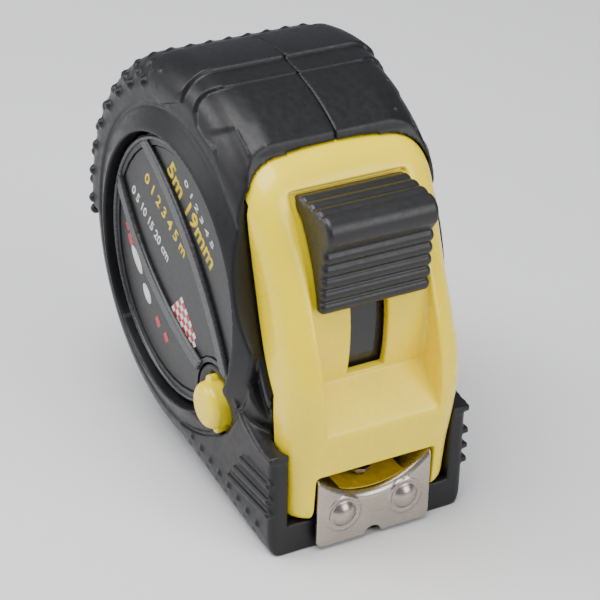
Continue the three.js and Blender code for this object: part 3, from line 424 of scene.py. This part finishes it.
def front_bezel():
    g = Grid(BEZEL_LOW, BEZEL_HIGH, 0.19)
    x, y, z = g.x, g.y, g.z
    s = np.abs(y)
    made = bezel_envelope(x, y, z)
    sill_back = polar(FLOOR_RADIUS, POCKET_START)
    sill_front = (FRONT_X - 1.1, SPINDLE_Z - 11.5)
    slope = (sill_front[1] - sill_back[1]) / (sill_front[0] - sill_back[0])
    far = FRONT_X + 10
    pocket = [
        *arc(FLOOR_RADIUS, POCKET_START, POCKET_END),
        (far, polar(FLOOR_RADIUS, POCKET_END)[1] + 2),
        (far, sill_front[1] + slope * (far - sill_front[0])),
    ]
    made = smooth_max(made, -slab(polygon_field(pocket, x, z), s, POCKET_HALF_WIDTH, 0.6), 0.5)
    rho = np.hypot(x, z - SPINDLE_Z)
    turn = np.degrees(np.arctan2(z - SPINDLE_Z, x))
    slot_ends = (np.abs(turn - SLOT_MIDDLE) - SLOT_REACH) * math.radians(FLOOR_RADIUS)
    slot = np.maximum(slot_ends, s - SLOT_HALF_WIDTH)
    made = smooth_max(made, -np.maximum(slot, rho - FLOOR_RADIUS - 3), 0.4)
    mouth = smooth_max(s - MOUTH_HALF_WIDTH, z - MOUTH_TOP_Z, 0.8)
    made = smooth_max(made, -mouth, 0.5)
    made = smooth_max(made, -np.maximum(rho - CHAMBER_RADIUS, s - CHAMBER_HALF_WIDTH), 0.4)
    brake_room = np.maximum(np.maximum(rho - 29.1, s - 4.7), turn + 25)
    made = smooth_max(made, -brake_room, 0.4)
    piece("bezel_shell", g.mesh("bezel_shell", made), "case", YELLOW, ["front_bezel"])


# ---- the rubber jacket ----
RIM_Z = SPINDLE_Z - 15
RIM = curve_points(
    (BOOT_FRONT_X + 2, RIM_Z - 0.2), (BOOT_FRONT_X - 6.6, RIM_Z - 0.9), (BOOT_FRONT_X - 12.9, RIM_Z + 6.3)
)
ABOVE = 70  # clear of the jacket's top
FOOT_OUTLINE = [
    (-3, 0), (BOOT_FRONT_X - 0.5, 0), (BOOT_FRONT_X - 0.5, SPINDLE_Z - 18.2),
    (BOOT_FRONT_X - 7.4, SPINDLE_Z - 18.2), (12, SPINDLE_Z - 10.2), (-8, SPINDLE_Z - 10.2), (-12, 3.6),
]
BOOT_OUTLINE = [
    (3, 0), (BOOT_FRONT_X, 0), *[(min(px, BOOT_FRONT_X), pz) for px, pz in RIM],
    (11, RIM_Z + 6), (1, RIM_Z - 6),
]
# the raised region that holds the studded grip and the pad
GRIP_OUTLINE = [
    (2.4, ABOVE), (2.4, 63.9), (2.5, 62.9), (2.2, 61.6), (1.0, 60.2), (-2.2, 58.0), (-5.9, 55.9),
    (-9.2, 54.7), (-14, 48), (-20, 32), (-22, 28.2), (-40, 27.0), (-40, ABOVE),
]
PAD_OUTLINE = [
    (2.4, ABOVE), (2.4, 60), (-3.4, 57.6), (-6.1, 57.9), (-7.7, 59.4), (-9.0, 61.2), (-8.9, 62.7),
    (-7.7, 63.6), (-7.2, ABOVE),
]
HOOD_OUTLINE = [
    (6.8, ABOVE), (6.7, 63.4), (5.6, 62.4), (5.3, 61.2), (5.6, 59.7), (6.9, 58.2), (9.3, 57.2),
    (12, 56.8), (16, 53), (30, 53), (30, ABOVE),
]
RECESS_Y = 14.2
RECESS_WIDTH = 3.4
BOTH_SIDES = (-1, 1)
# the boot's turned-under lower edge: its height at the front, and what it gains per millimetre to the rear
BOOT_EDGE_Z, BOOT_EDGE_SLOPE = 0.6, 0.17


def step(field, width):
    """1 inside an outline and 0 outside it, with a soft edge."""
    share = np.clip(0.5 - field / width, 0, 1)
    return share * share * (3 - 2 * share)


def jacket_field(g):
    x, y, z = g.x, g.y, g.z
    s = np.abs(y)
    rho = np.hypot(x, z - SPINDLE_Z)
    width = JACKET_HALF_WIDTH

    made = slab(rho - JACKET_RADIUS, s, width, JACKET_EDGE)
    foot = polygon_field(FOOT_OUTLINE, x, z)
    made = smooth_min(made, slab(foot, s, width - 3.4, 4.0), 1.2)

    # the raised rubber over the top, in layers
    grip = step(polygon_field(GRIP_OUTLINE, x, z), 0.3)
    pad = step(polygon_field(PAD_OUTLINE, x, z), 0.3)
    hood = step(polygon_field(HOOD_OUTLINE, x, z), 0.3)
    drop = PAD_RADIUS - STRIP_RADIUS - GRIP_RISE * grip - PAD_RISE * pad + HOOD_DROP * hood
    crease = step(-(x * 0.497 - (z - 60.7) * 0.868 - 14.4 * 0.497), 1.2)
    drop = drop + 0.25 * crease * hood
    top = slab(rho - PAD_RADIUS, s, TOP_HALF_WIDTH, TOP_EDGE) + drop
    # narrower where the hood meets the bezel
    top = smooth_max(top, s - 15.1 - 0.3 * (17.4 - x), 0.8)
    front_end = SPINDLE_Z + 13 - z
    rear_end = np.where(x < 0, SPINDLE_Z - 4.6 - 0.1 * x - z, -50)
    top = smooth_max(top, np.maximum(np.where(x > 0, front_end, -50), rear_end), 0.5)
    made = smooth_min(made, top, 0.3)

    boot = polygon_field(BOOT_OUTLINE, x, z)
    shell = slab(boot, s, width + 0.15, 1.2)
    lip = np.abs(polygon_field(RIM + [(0, 60), (40, 60)], x, z))
    lip = np.maximum(np.maximum(lip - 1.0, boot), s - width - 0.55)
    shell = smooth_min(shell, lip, 0.5)
    # the boot's lower edge is turned under, more towards the back
    edge_z = BOOT_EDGE_Z + BOOT_EDGE_SLOPE * np.maximum(BOOT_FRONT_X - x, 0)
    under = (s - width - 0.2) * 0.8 + (edge_z - z) * 0.6
    shell = smooth_max(shell, under, 1.5)
    made = smooth_min(made, shell, 0.6)

    cone = ((rho - RING_OUTER_RADIUS) * 1.6 + (s - width) * 3.3) / math.hypot(1.6, 3.3)
    ring = smooth_max(smooth_max(cone, s - RING_TOP_Y, 0.5), RING_INNER_RADIUS - rho, 0.4)
    groove = np.hypot(rho - RING_OUTER_RADIUS - 0.5, s - width) - 0.4
    made = smooth_max(made, -groove, 0.3)
    return smooth_min(made, np.maximum(ring, 13 - s), 0.12)


def cut_jacket(g, made):
    x, y, z = g.x, g.y, g.z
    s = np.abs(y)
    rho = np.hypot(x, z - SPINDLE_Z)
    # the case's room
    half = CASE_HALF_WIDTH + GAP
    room = np.maximum(rho - CASE_RADIUS - GAP, s - half)
    foot_room = np.maximum(np.maximum(x - (BOOT_FRONT_X - 1.9), 3.0 - z), np.maximum(s - half, z - 22))
    foot_room = np.maximum(foot_room, -x)
    made = np.maximum(made, -np.minimum(room, foot_room))
    # the opening inside the ring, the button's seat and its hole
    from_button = np.hypot(x - BUTTON_AT[0], z - BUTTON_AT[1])
    opening = np.maximum(rho - RING_INNER_RADIUS, 12 - s)
    made = smooth_max(made, -opening, 0.35)
    seat = slab(from_button - SEAT_RADIUS, np.abs(y + DISC_Y - 1.0), 1.0, 0.4)
    made = smooth_min(made, seat, 0.3)
    dish = np.hypot(from_button, y + DISC_Y + 5.9) - 7.4
    made = smooth_max(made, -dish, 0.8)
    hole = np.minimum(from_button - BUTTON_RADIUS - GAP, button_keys(g, KEY_RADIUS + GAP))
    hole = np.maximum(hole, y)
    made = smooth_max(made, -hole, 0.4)
    # the recess beside the bezel, with a thin strip along the bezel's edge
    edge = np.hypot(x - EDGE_ARC[0], z - EDGE_ARC[1]) - EDGE_ARC_RADIUS
    recess = np.maximum(edge - RECESS_WIDTH, RING_OUTER_RADIUS + 0.2 - rho)
    recess = np.maximum(recess, np.maximum(z - SPINDLE_Z - 13.2, 14 - z))
    recess = np.maximum(recess, 0.4 - polygon_field(BOOT_OUTLINE, x, z))
    recess = np.maximum(recess, np.where(y < 0, SEAT_RADIUS + 2.2 - from_button, -50))
    depth = RECESS_Y + 0.75 * step(np.abs(edge - 1.0) - 0.7, 0.3)
    made = smooth_max(made, -np.maximum(recess, depth - s), 0.4)
    # in front of the bezel's rear edge and above the boot
    low, high = SPINDLE_Z - 12.5, SPINDLE_Z + 17.8
    edge_line = [
        (EDGE_ARC[0] - math.sqrt((EDGE_ARC_RADIUS + 0.1) ** 2 - (h - EDGE_ARC[1]) ** 2), h)
        for h in [low + (high - low) * i / 15 for i in range(16)]
    ]
    gap = [
        (FRONT_X + 6, SPINDLE_Z - 14.6), (BOOT_FRONT_X - 2.4, SPINDLE_Z - 14.6), *edge_line,
        (FRONT_X - 15.0, SPINDLE_Z + 21.3), (FRONT_X - 16.8, SPINDLE_Z + 24.7),
        (FRONT_X - 17.3, SPINDLE_Z + 26.3), (FRONT_X - 17.3, SPINDLE_Z + 40), (FRONT_X + 6, SPINDLE_Z + 40),
    ]
    made = smooth_max(made, -polygon_field(gap, x, z), 0.3)
    made = np.maximum(made, -bezel_envelope(x, y, z, 0.25))
    between = np.maximum(np.maximum(s - 13.5, LEG_BOTTOM_Z - GAP - z), BOOT_FRONT_X - 8 - x)
    between = np.maximum(between, z - 40)
    made = smooth_max(made, -between, 0.4)
    for at in SCREW_HOLES:
        hole = np.hypot(x - at[0], z - at[1]) - 2.7
        made = smooth_max(made, -np.maximum(hole, 10 - y), 0.4)
    return made


def add_pips(g, field):
    """Staggered round studs over the grip, following its rounded rim."""
    start, sweep = 105.5, 80.5  # degrees about the spindle
    base = PAD_RADIUS - 0.62
    pitch, sink = 3.2, 0.35
    flat = TOP_HALF_WIDTH - TOP_EDGE
    quarter = TOP_EDGE * math.pi / 2
    rows = int(math.radians(82) * base / (pitch * 0.84))
    columns = 6
    for row in range(rows + 1):
        deg = start + sweep * row / rows
        for column in range(-columns, columns + 1):
            along = (column + 0.5 * (row % 2)) * pitch
            over = abs(along) - flat
            if over > quarter * 0.93 or (deg < 110 and abs(along) > flat + quarter * 0.7):
                continue
            bend = max(over, 0) / TOP_EDGE
            radius = base - TOP_EDGE + (TOP_EDGE - sink) * math.cos(bend)
            out = math.copysign(min(abs(along), flat) + (TOP_EDGE - sink) * math.sin(bend), along)
            px, pz = polar(radius, deg)
            g.add_ball(field, (px, out, pz), 0.85, 0.22)
    # two more on the pad's rounded end
    for at in ((-5.6, 15.1, 61.6), (-4.9, 15.9, 59.6)):
        for side in BOTH_SIDES:
            g.add_ball(field, (at[0], side * at[1], at[2]), 0.6, 0.2)


def add_boot_detail(g, field):
    """Three raised ribs on each side of the boot, and two rows of small studs along its lower edge."""
    x, z = g.x, g.z
    s = np.abs(g.y)
    for height, back in ((12.3, 22.8), (9.7, 21.0), (7.3, 19.2)):
        bar = np.hypot(np.maximum(np.maximum(back - x, x - 30.7), 0), z - height) - 0.5
        bar = np.maximum(bar, np.abs(s - JACKET_HALF_WIDTH) - 0.8)
        field = smooth_min(field, bar, 0.25)
    for row in (0, 1):
        for column in range(8):
            at = 5.6 + 2.9 * column + 1.4 * row
            low = BOOT_EDGE_Z + BOOT_EDGE_SLOPE * (BOOT_FRONT_X - at)
            level = low + 0.5 + 2.0 * row
            out = JACKET_HALF_WIDTH - (0.55 if row == 0 else 0.05)
            for side in BOTH_SIDES:
                g.add_ball(field, (at, side * out, level), 0.62, 0.22)
    return field


def jacket():
    low = (JACKET_LOW[0], -RING_TOP_Y, 0)
    high = (JACKET_HIGH[0], RING_TOP_Y, JACKET_HIGH[2])
    g = Grid(low, high, 0.25)
    made = jacket_field(g)
    made = np.broadcast_to(made, tuple(len(axis) for axis in g.axes)).astype(np.float32).copy()
    add_pips(g, made)
    made = add_boot_detail(g, made)
    made = np.maximum(cut_jacket(g, made), np.maximum(-g.z, JACKET_LOW[0] + 0.02 - g.x))
    for end, side in (("right", 1), ("left", -1)):
        half = smooth_max(made, side * (g.y - PARTING_Y) + 0.03, 0.2)
        name = "jacket_shell_" + end
        piece(name, g.mesh(name, half), "case", RUBBER, ["jacket_" + end])


# ---- the thumb lock ----
LOCK_TOP = [(22.6, 52.9), (29.6, 52.6)]
LOCK_NOSE_X, LOCK_NOSE_Z, LOCK_NOSE_RADIUS = 29.8, 50.2, 2.6


def lock():
    g = Grid(LOCK_LOW, LOCK_HIGH, 0.12)
    x, y, z = g.x, g.y, g.z
    s = np.abs(y)
    base = FLOOR_RADIUS + GAP
    nose = [
        (LOCK_NOSE_X + LOCK_NOSE_RADIUS * math.cos(t), LOCK_NOSE_Z + LOCK_NOSE_RADIUS * math.sin(t))
        for t in [math.radians(85 - 5 * i) for i in range(23)]
    ]
    outline = [*LOCK_TOP, *nose, (31.1, 47.6), polar(base + 0.75, 10.9), *arc(base, 10.7, 42.9)]
    block = polygon_field(outline, x, z)
    # three scallops along the top and five ribs down the front
    for cx, cz in ((23.9, 51.6), (26.1, 51.55), (28.3, 51.45)):
        block = smooth_min(block, np.hypot(x - cx, z - cz) - 1.55, 0.25)
    for i in range(5):
        cz = 46.6 - 1.95 * i
        cx = 30.5 - 0.06 * (46.6 - cz)
        block = smooth_min(block, np.hypot(x - cx, z - cz) - 1.0, 0.3)
    made = slab(block, s, LOCK_HIGH[1] - 0.02, 0.8)
    rho = np.hypot(x, z - SPINDLE_Z)
    made = np.maximum(made, base - rho)
    # the neck that passes through the bezel's slot
    turn = np.degrees(np.arctan2(z - SPINDLE_Z, x))
    neck = np.maximum(np.maximum(np.abs(rho - 29.1) - 1.3, s - 2.7), np.abs(turn - 28.5) - 6.5)
    made = np.minimum(made, neck)
    piece("lock_thumb", g.mesh("lock_thumb", made), "lock", LOCK_BLACK, ["lock_slider"])


# ---- the hook ----
def hook():
    g = Grid(HOOK_LOW, HOOK_HIGH, 0.11)
    x, y, z = g.x, g.y, g.z
    s = np.abs(y)
    thick, plate_x, bend = 0.34, 32.56, 1.0
    half = BLADE_HALF_WIDTH
    # the top edge dips in the middle
    crown = 8.0 + (HOOK_HIGH[2] - 8.05) * (s / half) ** 2
    drop = z - crown + thick
    stem = np.hypot(x - plate_x, np.maximum(drop + bend, 0))
    corner = np.abs(np.hypot(x - plate_x + bend, drop + bend) - bend)
    corner = np.where((x > plate_x - bend) & (drop > -bend), corner, 9.0)
    back = np.where(s < 7.4, HOOK_LOW[0] + 0.3, 29.0)
    tongue = np.hypot(np.maximum(np.maximum(x - plate_x + bend, back - x), 0), drop)
    made = np.minimum(np.minimum(stem, corner), tongue) - thick
    made = smooth_max(made, s - half, 0.3)
    made = smooth_max(made, HOOK_LOW[2] - z, 0.3)
    corner_cut = (s - half) + (HOOK_LOW[2] - z) + 0.8
    made = smooth_max(made, corner_cut * 0.7, 0.3)
    notch = np.hypot(y, (z - HOOK_LOW[2]) * 1.15) - 1.35
    made = smooth_max(made, -notch, 0.3)
    for side in BOTH_SIDES:
        cy, cz = side * 5.2, 5.5
        radial = np.hypot(y - cy, z - cz)
        dome = np.sqrt((x - HOOK_HIGH[0] + 2.6) ** 2 + (y - cy) ** 2 + (z - cz) ** 2) - 2.55
        dome = np.maximum(dome, 32.3 - x)
        made = smooth_min(made, dome, 0.25)
        flare = np.hypot(radial - 2.6, x - 32.8) - 0.28
        made = smooth_min(made, flare, 0.3)
    piece("hook_shell", g.mesh("hook_shell", made), "hook", STEEL, ["hook_plate"])


# ---- the button ----
def button_keys(g, radius):
    """The two keys that stop the button from turning, as distances across their round section."""
    fields = []
    for deg in (108, -72):
        turn = math.radians(deg)
        kx, kz = BUTTON_AT[0] + KEY_PLACE * math.cos(turn), BUTTON_AT[1] + KEY_PLACE * math.sin(turn)
        fields.append(np.hypot(g.x - kx, g.z - kz) - radius)
    return np.minimum(fields[0], fields[1])


def button():
    reach = 5.2
    low = (BUTTON_AT[0] - reach, BUTTON_FACE_Y, BUTTON_AT[1] - reach)
    high = (BUTTON_AT[0] + reach, BUTTON_BACK_Y, BUTTON_AT[1] + reach)
    g = Grid(low, high, 0.11)
    y = g.y
    radial = np.hypot(g.x - BUTTON_AT[0], g.z - BUTTON_AT[1])
    height = BUTTON_FACE_Y + 0.035 * radial**2 - y
    made = slab(radial - BUTTON_RADIUS, height + 3.0, 3.0, 1.1)
    keys = smooth_max(button_keys(g, KEY_RADIUS), np.abs(y + DISC_Y - 0.5) - 1.4, 0.3)
    made = smooth_min(made, keys, 0.3)
    made = np.maximum(made, y - BUTTON_BACK_Y)
    # hollow about the spring, with a boss on the plunger
    spring_room = np.maximum(np.abs(radial - 2.4) - 0.6, BUTTON_BACK_Y - 2.3 - y)
    made = np.maximum(made, -spring_room)
    piece("button_cap", g.mesh("button_cap", made), "button", YELLOW, ["side_button"])


# ---- the screws ----
def case_screw(name):
    """A pan-headed screw with a cross recess, its head on the +y side."""
    low, high = box_mm(name)
    g = Grid(low, high, 0.12)
    cx, cz = (low[0] + high[0]) / 2, (low[2] + high[2]) / 2
    radial = np.hypot(g.x - cx, g.z - cz)
    head_radius = (high[0] - low[0]) / 2
    head = np.maximum(radial - head_radius, np.abs(g.y - high[1] + 1.0) - 1.0)
    crown = np.sqrt(radial**2 + (g.y - high[1] + 6.2) ** 2) - 6.2
    made = smooth_max(head, crown, 0.3)
    cross_half, cross_reach = 0.3, 1.35
    cross = np.minimum(
        np.maximum(np.abs(g.x - cx) - cross_half, np.abs(g.z - cz) - cross_reach),
        np.maximum(np.abs(g.z - cz) - cross_half, np.abs(g.x - cx) - cross_reach),
    )
    made = smooth_max(made, -np.maximum(cross, high[1] - 1.1 - g.y), 0.15)
    thread = 0.09 * np.sin(2 * math.pi * g.y / 0.9)
    shank = np.maximum(radial - 1.05 - thread, np.maximum(g.y - high[1] + 0.8, low[1] + 0.1 - g.y))
    made = smooth_min(made, shank, 0.2)
    piece(name + "_driven", g.mesh(name + "_driven", made), "case", DARK_STEEL, [name])


# ---- the belt clip ----
def belt_clip():
    """A leaf folded from sheet steel: a short leaf on the case, and a long one that bows in at its middle."""
    g = Grid(CLIP_LOW, CLIP_HIGH, 0.16)
    x, y, z = g.x, g.y, g.z
    s = np.abs(x)
    half = CLIP_HIGH[0]
    thick = 0.45  # half of the sheet
    inner, outer = CLIP_LOW[1] + thick, CLIP_HIGH[1] - 0.65
    top, bottom = CLIP_HIGH[2] - 1.2, CLIP_LOW[2]
    bend = (outer - inner) / 2
    below_fold = z - top + bend + thick
    back = np.hypot(y - inner, np.maximum(np.maximum(below_fold, SPINDLE_Z - 6.2 - z), 0))
    fold = np.abs(np.hypot(y - inner - bend, below_fold) - bend)
    fold = np.where(z > top - bend - thick, fold, 9.0)
    lean = outer - 0.55 * step(np.abs(z - SPINDLE_Z + 6) - 5, 9.0)
    leaf = np.hypot(y - lean, np.maximum(np.maximum(below_fold, bottom + 3.0 - z), 0))
    made = np.minimum(np.minimum(back, fold), leaf) - thick
    # rounded corners
    made = smooth_max(made, z - top + 0.1 + 0.5 * np.maximum(s - 4, 0) ** 2, 0.4)
    corner = 3.5
    round_end = np.hypot(np.maximum(s - half + corner, 0), np.maximum(bottom + corner - z, 0)) - corner
    sides = np.where(y > inner + bend, np.maximum(round_end, s - half), s - half)
    made = smooth_max(made, sides, 0.25)
    groove = np.hypot(np.maximum(s - 2.4, 0), np.maximum(np.abs(z - SPINDLE_Z) - 9, 0)) - 0.2
    made = smooth_max(made, -np.maximum(groove, outer + 0.18 - y), 0.3)
    screw_hole = np.maximum(np.hypot(x, z - SPINDLE_Z) - 1.7, y - inner - 2)
    made = smooth_max(made, -screw_hole, 0.2)
    piece("clip_leaf", g.mesh("clip_leaf", made), "case", STEEL, ["belt_clip"])


# ---- the label ----
LABEL_Y = DISC_Y - 0.2
LABEL_TILT = math.radians(-45)
PRINT_PROUD, PRINT_SUNK = 0.03, 0.02
# each rib's middle line across the label as a function of the place along it, and that line's slope
RIB_CURVES = (
    (lambda a: -8.9 + 0.0125 * (a + 8.5) ** 2, lambda a: 0.025 * (a + 8.5)),
    (lambda a: 8.2 - 0.0085 * (a + 0.5) ** 2, lambda a: -0.017 * (a + 0.5)),
)


def label_ribs():
    """Two raised ribs across the label and a thin rim about it."""
    g = Grid((-21, -DISC_Y - 0.6, SPINDLE_Z - 21), (21, -DISC_Y + 0.5, SPINDLE_Z + 21), 0.14)
    x, z = g.x, g.z - SPINDLE_Z
    along = x * math.cos(LABEL_TILT) + z * math.sin(LABEL_TILT)
    across = -x * math.sin(LABEL_TILT) + z * math.cos(LABEL_TILT)
    rho = np.hypot(x, z)
    flat = rho - 19.7
    lines = None
    for curve, slope in RIB_CURVES:
        off = np.abs(across - curve(along)) / np.sqrt(1 + slope(along) ** 2)
        lines = off if lines is None else np.minimum(lines, off)
    clear = SEAT_RADIUS + 0.4 - np.hypot(g.x - BUTTON_AT[0], g.z - BUTTON_AT[1])
    lift = g.y + DISC_Y
    rib = slab(lines - 1.15, np.abs(lift), 0.5, 0.4)
    made = smooth_max(smooth_max(rib, flat, 0.5), clear, 0.5)
    rim = np.hypot(rho - 19.9, lift) - 0.4
    made = np.minimum(made, smooth_max(rim, clear, 0.3))
    made = np.maximum(made, lift - 0.15)
    piece("label_ribs", g.mesh("label_ribs", made), "case", RIB_GREY)


def print_piece(name, bm, body, material):
    """Turns built print into a piece on a body."""
    bmesh.ops.recalc_face_normals(bm, faces=bm.faces)
    made = bpy.data.meshes.new(name)
    bm.to_mesh(made)
    bm.free()
    piece(name, made, body, material)


def label_mark(name, outlines, material):
    """Flat printed shapes on the label, each given as a closed outline of (x, z) pairs."""
    bm = bmesh.new()
    face_y, base_y = -LABEL_Y - PRINT_PROUD, -LABEL_Y + PRINT_SUNK
    for outline in outlines:
        face_points = [bm.verts.new((px * MM, face_y * MM, pz * MM)) for px, pz in outline]
        base_points = [bm.verts.new((px * MM, base_y * MM, pz * MM)) for px, pz in outline]
        bm.faces.new(face_points)
        bm.faces.new(base_points[::-1])
        for i in range(len(outline)):
            j = (i + 1) % len(outline)
            bm.faces.new((face_points[i], base_points[i], base_points[j], face_points[j]))
    print_piece(name, bm, "case", material)


def blade_ticks():
    """Measuring marks along both edges of the blade, following its curved top."""
    strip = frame["nodes"]["blade_strip"]
    points = np.array([strip.matrix_world @ v.co for v in strip.data.vertices]) / MM
    levels = {}
    for _, py, pz in points:
        key = round(float(py), 2)
        levels[key] = max(levels.get(key, -1e9), float(pz))
    across = sorted(levels)
    heights = [levels[key] for key in across]
    outer = BLADE_HALF_WIDTH - 0.5
    half_line = 0.11
    corners = (
        (-half_line, PRINT_PROUD),
        (half_line, PRINT_PROUD),
        (half_line, -PRINT_SUNK),
        (-half_line, -PRINT_SUNK),
    )
    bm = bmesh.new()
    count = int(STRIP_HIGH[0] - STRIP_LOW[0] - 1)  # one mark to a millimetre
    for i in range(count):
        at = STRIP_HIGH[0] - 1.0 - i
        length = 5.2 if i % 10 == 9 else (3.6 if i % 5 == 4 else 2.2)
        for side in BOTH_SIDES:
            rows = []
            for j in range(7):
                py = side * (outer - length * j / 6)
                pz = float(np.interp(py, across, heights))
                rows.append([bm.verts.new(((at + dx) * MM, py * MM, (pz + dz) * MM)) for dx, dz in corners])
            for first, second in zip(rows, rows[1:]):
                for j in range(4):
                    k = (j + 1) % 4
                    bm.faces.new((first[j], first[k], second[k], second[j]))
            bm.faces.new(rows[0])
            bm.faces.new(rows[-1][::-1])
    print_piece("blade_marks", bm, "blade", INK_BLACK)


def label_text(name, words, start, end, height, material):
    """Numbers set along a line from start to end on the label."""
    curve = bpy.data.curves.new(name + "_curve", "FONT")
    curve.body = words
    curve.size = height / 0.72  # capitals stand at about 0.72 of the font's size
    curve.offset = 0.035 * height
    curve.resolution_u = 3
    holder = bpy.data.objects.new(name + "_holder", curve)
    bpy.context.scene.collection.objects.link(holder)
    bpy.context.view_layer.update()
    flat = bpy.data.meshes.new_from_object(holder.evaluated_get(bpy.context.evaluated_depsgraph_get()))
    bpy.data.objects.remove(holder)
    bpy.data.curves.remove(curve)
    xs = [v.co.x for v in flat.vertices]
    span = math.hypot(end[0] - start[0], end[1] - start[1])
    stretch = span / (max(xs) - min(xs))
    ux, uz = (end[0] - start[0]) / span, (end[1] - start[1]) / span
    bm = bmesh.new()
    bm.from_mesh(flat)
    bpy.data.meshes.remove(flat)
    for v in bm.verts:
        a, b = (v.co.x - min(xs)) * stretch, v.co.y
        px, pz = start[0] + ux * a - uz * b, start[1] + uz * a + ux * b
        v.co = Vector((px, -LABEL_Y - PRINT_PROUD, pz)) * MM
    bmesh.ops.remove_doubles(bm, verts=bm.verts, dist=1e-7)
    made = bmesh.ops.extrude_face_region(bm, geom=bm.faces[:])
    for v in [item for item in made["geom"] if isinstance(item, bmesh.types.BMVert)]:
        v.co.y += (PRINT_PROUD + PRINT_SUNK) * MM
    print_piece(name, bm, "case", material)


def label_point(along, across):
    """A point given along and across the label, as x and z."""
    cos, sin = math.cos(LABEL_TILT), math.sin(LABEL_TILT)
    return (along * cos - across * sin, SPINDLE_Z + along * sin + across * cos)


def label_prints():
    label_text("print_length", "5m 19mm", (-2.6, 47.4), (11.2, 37.4), 2.9, INK_YELLOW)
    label_text("print_scale", "0 1 2 3 4 5", (2.8, 47.8), (11.8, 41.0), 1.0, INK_WHITE)
    label_text("print_metres", "0 1 2 3 4 5 m", (-10.2, 42.6), (2.8, 35.4), 2.0, INK_YELLOW)
    label_text("print_steps", "0 5 10 15 20 cm", (-14.6, 38.8), (-2.6, 32.2), 1.7, INK_WHITE)
    reds, whites = [], []
    # a checker in the middle window's front end, kept inside two arcs
    pitch, cell_size, limit = 0.95, 0.95 * 0.94, 17.0
    square = ((0, 0), (1, 0), (1, 1), (0, 1))
    for row in range(5):
        for column in range(8):
            a, c = 4.0 + pitch * column, -5.6 + pitch * row
            if math.hypot(a, c) > limit or math.hypot(a + 2, c + 14) > limit:
                continue
            cell = [label_point(a + i * cell_size, c + j * cell_size) for i, j in square]
            (reds if (row + column) % 2 else whites).append(cell)
    # bars and ovals in the lower window
    bar = ((0, -0.5), (1, -0.7), (1, 0.6), (0, 0.8))
    for a, c, length in ((-12.0, -11.2, 1.3), (-10.2, -12.0, 1.8), (3.4, -12.4, 1.6), (6.4, -11.4, 1.4)):
        reds.append([label_point(a + i * length, c + j) for i, j in bar])
    for a, c, long_radius in ((-6.0, -12.2, 2.4), (-0.6, -12.8, 1.7)):
        ring = [2 * math.pi * i / 24 for i in range(24)]
        whites.append([label_point(a + long_radius * math.cos(t), c + 0.95 * math.sin(t)) for t in ring])
    label_mark("print_red", reds, INK_RED)
    label_mark("print_white", whites, INK_WHITE)


# ---- the stage ----
def stage():
    bpy.ops.mesh.primitive_plane_add(size=4, location=(0, 0, 0))
    floor = bpy.context.object
    floor.name = "floor"
    n = Nodes("floor_card")
    pale = n.ramp(n.noise(6, 3), [(0.3, (0.72, 0.72, 0.73)), (0.7, (0.75, 0.75, 0.76))])
    n.link(pale, n.shader.inputs["Base Color"])
    n.set(Roughness=0.6)
    floor.data.materials.append(n.material)
    world = bpy.data.worlds.new("studio")
    bpy.context.scene.world = world
    world.use_nodes = True
    world.node_tree.nodes["Background"].inputs["Color"].default_value = (0.9, 0.93, 1.0, 1)
    world.node_tree.nodes["Background"].inputs["Strength"].default_value = 0.3
    for name, place, size, power in (
        ("light_top", (0.02, -0.12, 0.55), 0.45, 4.6),
        ("light_left", (-0.30, -0.45, 0.30), 0.30, 2.0),
        ("light_front", (0.50, 0.22, 0.30), 0.35, 2.0),
    ):
        lamp = bpy.data.lights.new(name, "AREA")
        lamp.size = size
        lamp.energy = power
        made = bpy.data.objects.new(name, lamp)
        made.location = place
        made.rotation_euler = (Vector((0, 0, 0.03)) - Vector(place)).to_track_quat("-Z", "Y").to_euler()
        bpy.context.scene.collection.objects.link(made)


def camera():
    """Placed as the photographer stood: in front, to the label's side and above."""
    data = bpy.data.cameras.new("camera")
    data.lens = 138.6
    data.sensor_width = 36
    made = bpy.data.objects.new("camera", data)
    place = Vector((0.2690, -0.1511, 0.1928))
    aim = Vector((0.00972, 0, 0.02796))
    roll = math.radians(1.71)
    made.location = place
    made.rotation_euler = (aim - place).to_track_quat("-Z", "Y").to_euler()
    made.rotation_euler.rotate_axis("Z", roll)
    bpy.context.scene.collection.objects.link(made)
    bpy.context.scene.camera = made


def paint(material, *names):
    for name in names:
        data = frame["nodes"][name].data
        data.materials.clear()
        data.materials.append(material)


def cad_materials():
    """Materials for the nodes that are shown as packed."""
    paint(BLACK, "case_right", "case_left")
    paint(GLOSS, "lock_tongue")
    paint(RUBBER, "brake_pad", "mouth_bumper")
    # the blade strip and coil get the yellow lacquer darkened with painted shade
    paint(BLADE_LACQUER_SHADED, "blade_strip", "blade_coil")
    paint(STEEL, "hook_rivet_front", "hook_rivet_right", "hook_rivet_left", "clip_screw", "button_spring")
    paint(DARK_STEEL, "hook_magnet_right", "hook_magnet_left", "power_spring")
    paint(GREY, "spindle_post", "spool_drum", "spool_lid", "button_plunger")
    paint(LABEL_BLACK, "label_lower", "label_middle", "label_upper")


camera()
stage()
cad_materials()
front_bezel()
jacket()
lock()
hook()
button()
belt_clip()
for screw_name in SCREWS:
    case_screw(screw_name)
label_ribs()
label_prints()
blade_ticks()
